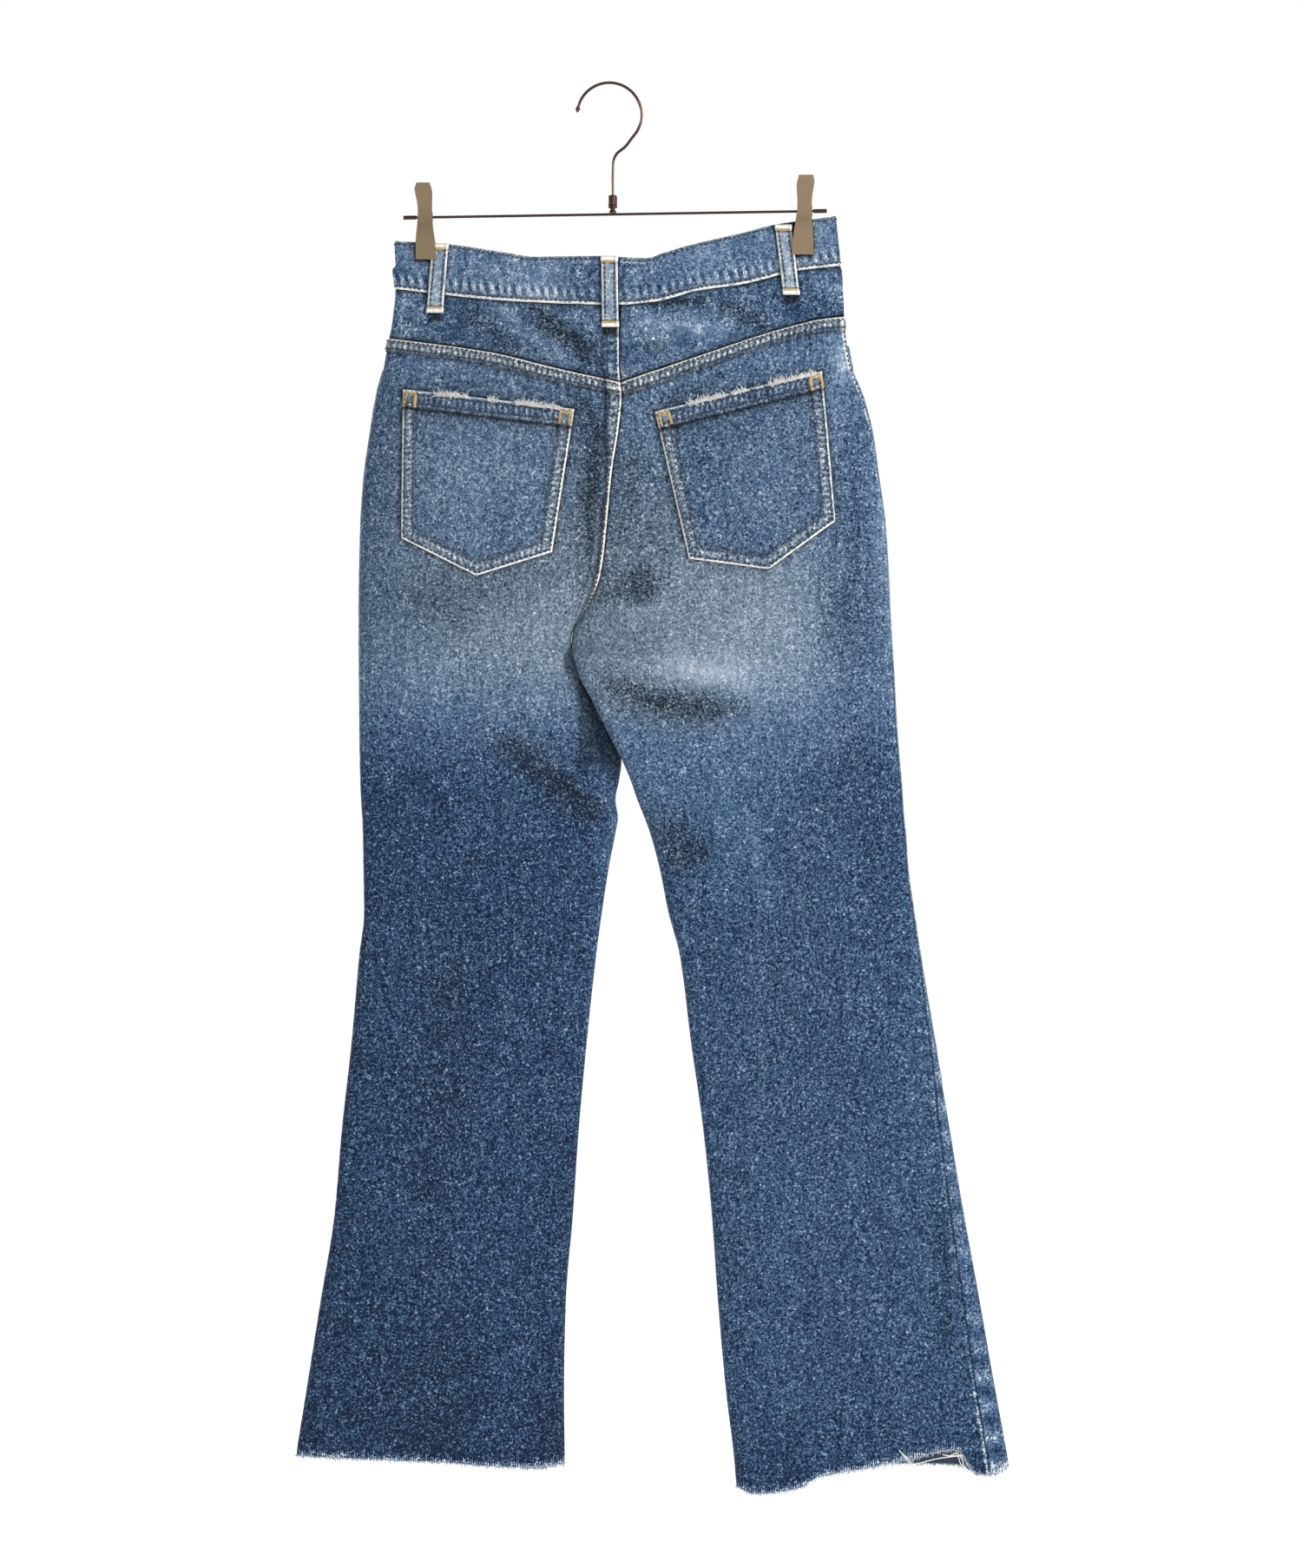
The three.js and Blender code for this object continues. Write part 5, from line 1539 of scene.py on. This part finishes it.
def sew_pocket(strands, tacks, frays, cloth, name, rng):
    corners = POCKETS[name]
    for distance in (1.9, 9.2):
        inner = inset_corners(corners, distance)
        outline = joined(inner[0], inner[4], inner[3], inner[2], inner[1])
        sew(strands, on_cloth(cloth, "back", outline))
    top_left = np.array(corners[0], float)
    top_right = np.array(corners[1], float)
    across = (top_right - top_left) / np.linalg.norm(top_right - top_left)
    down = np.array([across[1], -across[0]])
    for distance in (3.4, 10.8):
        ends = [top_left + across * 3 + down * distance, top_right - across * 3 + down * distance]
        sew(strands, on_cloth(cloth, "back", joined(*ends)))
    for corner, way in ((top_left, across), (top_right, -across)):
        start = corner + way * 2.4 + down * 3
        far = start + way * 9
        for ends in ((start, far), (start, start + down * 11), (far, far + down * 11)):
            tack(tacks, on_cloth(cloth, "back", joined(*ends)), 2.6, 0.7, 0.42)
    for begin, end in TORN[name]:
        run = joined(top_left + (top_right - top_left) * begin, top_left + (top_right - top_left) * end)
        line = on_cloth(cloth, "back", run + down * 1.2)
        for longest in (5.5, 3.6):
            fray(frays, line, rng, 0.24, longest, (0, -0.6, 1), 0.9, 0.4, 1.2)


def sew_loop(strands, tacks, cloth, row):
    side, top_x, top_z, low_x, low_z = row
    for shift in (-LOOP_WIDTH / 2 + 2.9, LOOP_WIDTH / 2 - 2.9):
        line = joined((top_x + shift, top_z - LOOP_FOLD), (low_x + shift, low_z + LOOP_FOLD))
        sew(strands, on_cloth(cloth, side, line), 0.2)
    for x, z in ((top_x, top_z - LOOP_FOLD), (low_x, low_z + LOOP_FOLD)):
        line = joined((x - LOOP_WIDTH / 2 + 1.5, z), (x + LOOP_WIDTH / 2 - 1.5, z))
        tack(tacks, on_cloth(cloth, side, line), 1.8, 0.6, 0.4)


def sew_fly(strands, tacks, cloths):
    """The two curved rows of the fly, and its bar tacks."""
    v = np.linspace(0.02, 0.97, 120)[:, None]
    for inset in (3, 9):
        x, z = fly_place(np.array([[0.0]]), v * (1 - inset / FLY_LENGTH))
        line = np.concatenate([x + inset, z], axis=1)
        sew(strands, on_cloth(cloths["fly"], "front", line))
    x, z = fly_place(np.array([[1.0]]), np.array([[0.98], [0.98]]))
    line = joined((x[0, 0] - 7, z[0, 0]), (x[0, 0], z[0, 0] - 2))
    tack(tacks, on_cloth(cloths["fly"], "front", line), 1.8, 0.6, 0.36)


def sew_all(cloths):
    rng = np.random.default_rng(7)
    seams = Strands()
    details = Strands()
    tacks = Strands()
    frays = Strands()
    sew_seams(seams, cloths)
    for name in POCKETS:
        sew_pocket(details, tacks, frays, cloths["pocket", name], name, rng)
    for name, row in LOOPS.items():
        sew_loop(details, tacks, cloths["loop", name], row)
    sew_fly(details, tacks, cloths)
    navy = thread_material("thread_dark", srgb(14, 17, 26), srgb(50, 56, 72))
    gold = thread_material("thread_gold", srgb(136, 106, 52), srgb(222, 198, 138))
    cotton = thread_material("thread_cotton", srgb(196, 200, 204), srgb(248, 246, 238))
    seams.build("stitches_seams", navy, "thread")
    details.build("stitches_details", navy, "thread")
    tacks.build("bar_tacks", gold, "tack_thread")
    frays.build("pocket_fray", cotton, "fray")


# Long threads that hang at the raw hems: radius, and x and z of the points it passes
LOOSE_THREADS = [
    (0.42, [(236, -1122), (241, -1128), (248, -1136), (258, -1140), (271, -1139.5)]),
    (0.38, [(239, -1125), (246, -1132), (250, -1139), (255, -1143)]),
    (0.4, [(272, -1126), (278, -1127), (283, -1125), (288, -1130), (290, -1138), (295, -1146)]),
    (0.38, [(276, -1128), (284, -1127), (287, -1134), (293, -1139), (297, -1147)]),
    (0.45, [(208, -1138.6), (228, -1137), (250, -1133.5), (270, -1129), (288, -1127)]),
    (0.3, [(-54, -1134), (-50, -1140), (-52, -1145)]),
    (0.3, [(-43, -1134), (-45, -1139), (-42, -1143)]),
]


def bent(corners):
    """A smooth line of points through some corners."""
    points = [corners[0], *corners, corners[-1]]
    line = []
    for a, b, c, d in zip(points, points[1:], points[2:], points[3:]):
        for t in np.linspace(0, 1, 8, endpoint=False):
            line.append(
                0.5 * (2 * b + (c - a) * t + (2 * a - 5 * b + 4 * c - d) * t**2
                       + (3 * b - a - 3 * c + d) * t**3)
            )
    return np.array([*line, corners[-1]])


def fray_all(cloths):
    """The raw hems: short ends of blue and white thread, and a few long loose ones."""
    rng = np.random.default_rng(11)
    pale = thread_material("fray_hem", srgb(96, 122, 152), srgb(214, 222, 230))
    fringes = {}
    for leg in ("left", "right"):
        strands = Strands()
        for side in ("back", "front"):
            cloth = cloths[side, leg]
            foot = np.concatenate([cloth.points[-1], cloth.normals[-1]], axis=1)
            foot[:, :3] -= foot[:, 3:6] * DENIM * 0.5
            fray(strands, foot, rng, 0.5, 4.6, (0, 0, -1), 0.42, 0.34, 0.2)
            fray(strands, foot, rng, 0.8, 2.6, (0, 0, -1), 0.5, 0.36, 0.6)
        fringes[leg] = strands.build(f"fray_{leg}", pale, "fray")
        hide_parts(f"hem_fray_{leg}")
    cotton = thread_material("thread_loose", srgb(206, 200, 188), srgb(250, 246, 236))
    loose = Strands()
    for radius, thread in LOOSE_THREADS:
        flat = bent([np.array(point, float) for point in thread])
        y = surface_y("back", flat[:, 0], np.maximum(flat[:, 1], -1150)) - 1.2
        path = np.stack([flat[:, 0], y, flat[:, 1]], axis=1)
        loose.tube(path[None], radius, 5, np.array([0, 1, 0.01]) + 0 * path[None])
    loose.build("loose_threads", cotton, "fray")
    return fringes


# Stage, light and camera

def make_stage():
    """A plain pale floor under the jeans, white world light and soft lamps."""
    radius = 3200
    steps = 96
    rim = [(radius * math.cos(i * math.tau / steps), radius * math.sin(i * math.tau / steps), -1320)
           for i in range(steps)]
    n = Nodes("floor_white")
    cloud = n.noise(3, 2.0)
    tone = n.sum(0.86, n.times(cloud, 0.01))
    colour = n.add("CombineColor", {0: tone, 1: tone, 2: tone}).outputs[0]
    white = n.finish(Base_Color=colour, Roughness=0.9, Emission_Color=(1, 1, 1, 1), Emission_Strength=0.66)
    floor = make_mesh("floor", rim, [range(steps)], None, [white])

    world = bpy.data.worlds.new("studio")
    bpy.context.scene.world = world
    world.use_nodes = True
    tree = world.node_tree
    shine = tree.nodes["Background"]
    path = tree.nodes.new("ShaderNodeLightPath")
    strength = tree.nodes.new("ShaderNodeMapRange")
    strength.inputs["To Min"].default_value = AMBIENT
    strength.inputs["To Max"].default_value = 1.0
    tree.links.new(path.outputs["Is Camera Ray"], strength.inputs["Value"])
    tree.links.new(strength.outputs["Result"], shine.inputs["Strength"])
    shine.inputs["Color"].default_value = (1, 1, 1, 1)
    for name, place, aim, size, watts in LAMPS:
        make_lamp(name, place, aim, size, watts)


AMBIENT = 0.42
# Lamps: name, place, aim, side length in mm, power in watts
LAMPS = [
    ("key", (1500, -1500, 300), (60, 0, -560), 700, 36),
    ("fill", (-2200, -2400, 0), (30, 0, -560), 1500, 5),
    ("back_key", (-1500, 1600, 300), (30, 0, -560), 700, 34),
    ("back_fill", (2200, 2300, 0), (30, 0, -560), 1500, 6),
]


def make_lamp(name, place, aim, size, watts):
    light = bpy.data.lights.new(name, "AREA")
    light.size = size * MM
    light.energy = watts
    lamp = bpy.data.objects.new(name, light)
    bpy.context.scene.collection.objects.link(lamp)
    lamp.location = Vector(place) * MM
    way = (Vector(aim) - Vector(place)).normalized()
    lamp.rotation_euler = way.to_track_quat("-Z", "Y").to_euler()


def make_camera():
    data = bpy.data.cameras.new("camera")
    data.sensor_fit = "VERTICAL"
    data.sensor_height = SENSOR
    data.lens = SENSOR * CAMERA_DISTANCE / (PHOTO_HEIGHT * PHOTO_SCALE)
    camera = bpy.data.objects.new("camera", data)
    bpy.context.scene.collection.objects.link(camera)
    x, z = PHOTO_MIDDLE
    camera.location = Vector((x, -CAMERA_DISTANCE, z)) * MM
    camera.rotation_euler = (math.pi / 2, 0, 0)
    bpy.context.scene.camera = camera
    bpy.context.scene.view_settings.view_transform = "Standard"


def main():
    MATERIALS["denim"] = denim_material("denim_worn")
    MATERIALS["inside"] = inside_material()
    made = {}
    for side in ("back", "front"):
        for leg in ("left", "right"):
            made[side, leg] = make_panel(side, leg)
    for leg in ("left", "right"):
        made["yoke", leg] = make_yoke(leg)
        made["facing", leg] = make_facing(leg)
    made["waistband"] = make_waistband()
    for name, corners in POCKETS.items():
        made["pocket", name] = make_pocket(name, corners)
    for name, row in LOOPS.items():
        made["loop", name] = make_loop(name, row)
    made["fly"] = make_fly()
    for piece, _ in made.values():
        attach(piece, "root")
    cloths = {key: cloth for key, (_, cloth) in made.items()}
    sew_all(cloths)
    fray_all(cloths)
    metal = metal_material("clip_satin_metal", srgb(160, 142, 116), srgb(142, 126, 102), 0.72, 900)
    wire = metal_material("wire_satin_metal", srgb(94, 74, 64), srgb(64, 50, 44), 0.4, 900)
    copper = metal_material("aged_copper", srgb(176, 130, 96), srgb(112, 78, 58), 0.4, 500)
    for name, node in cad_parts.items():
        if name.startswith(("hanger", "clip")) or name == "waist_button":
            material = copper if name == "waist_button" else metal if name.startswith("clip") else wire
            for i in range(max(1, len(node.material_slots))):
                if node.material_slots:
                    node.material_slots[i].material = material
                else:
                    node.data.materials.append(material)
    make_stage()
    make_camera()


main()
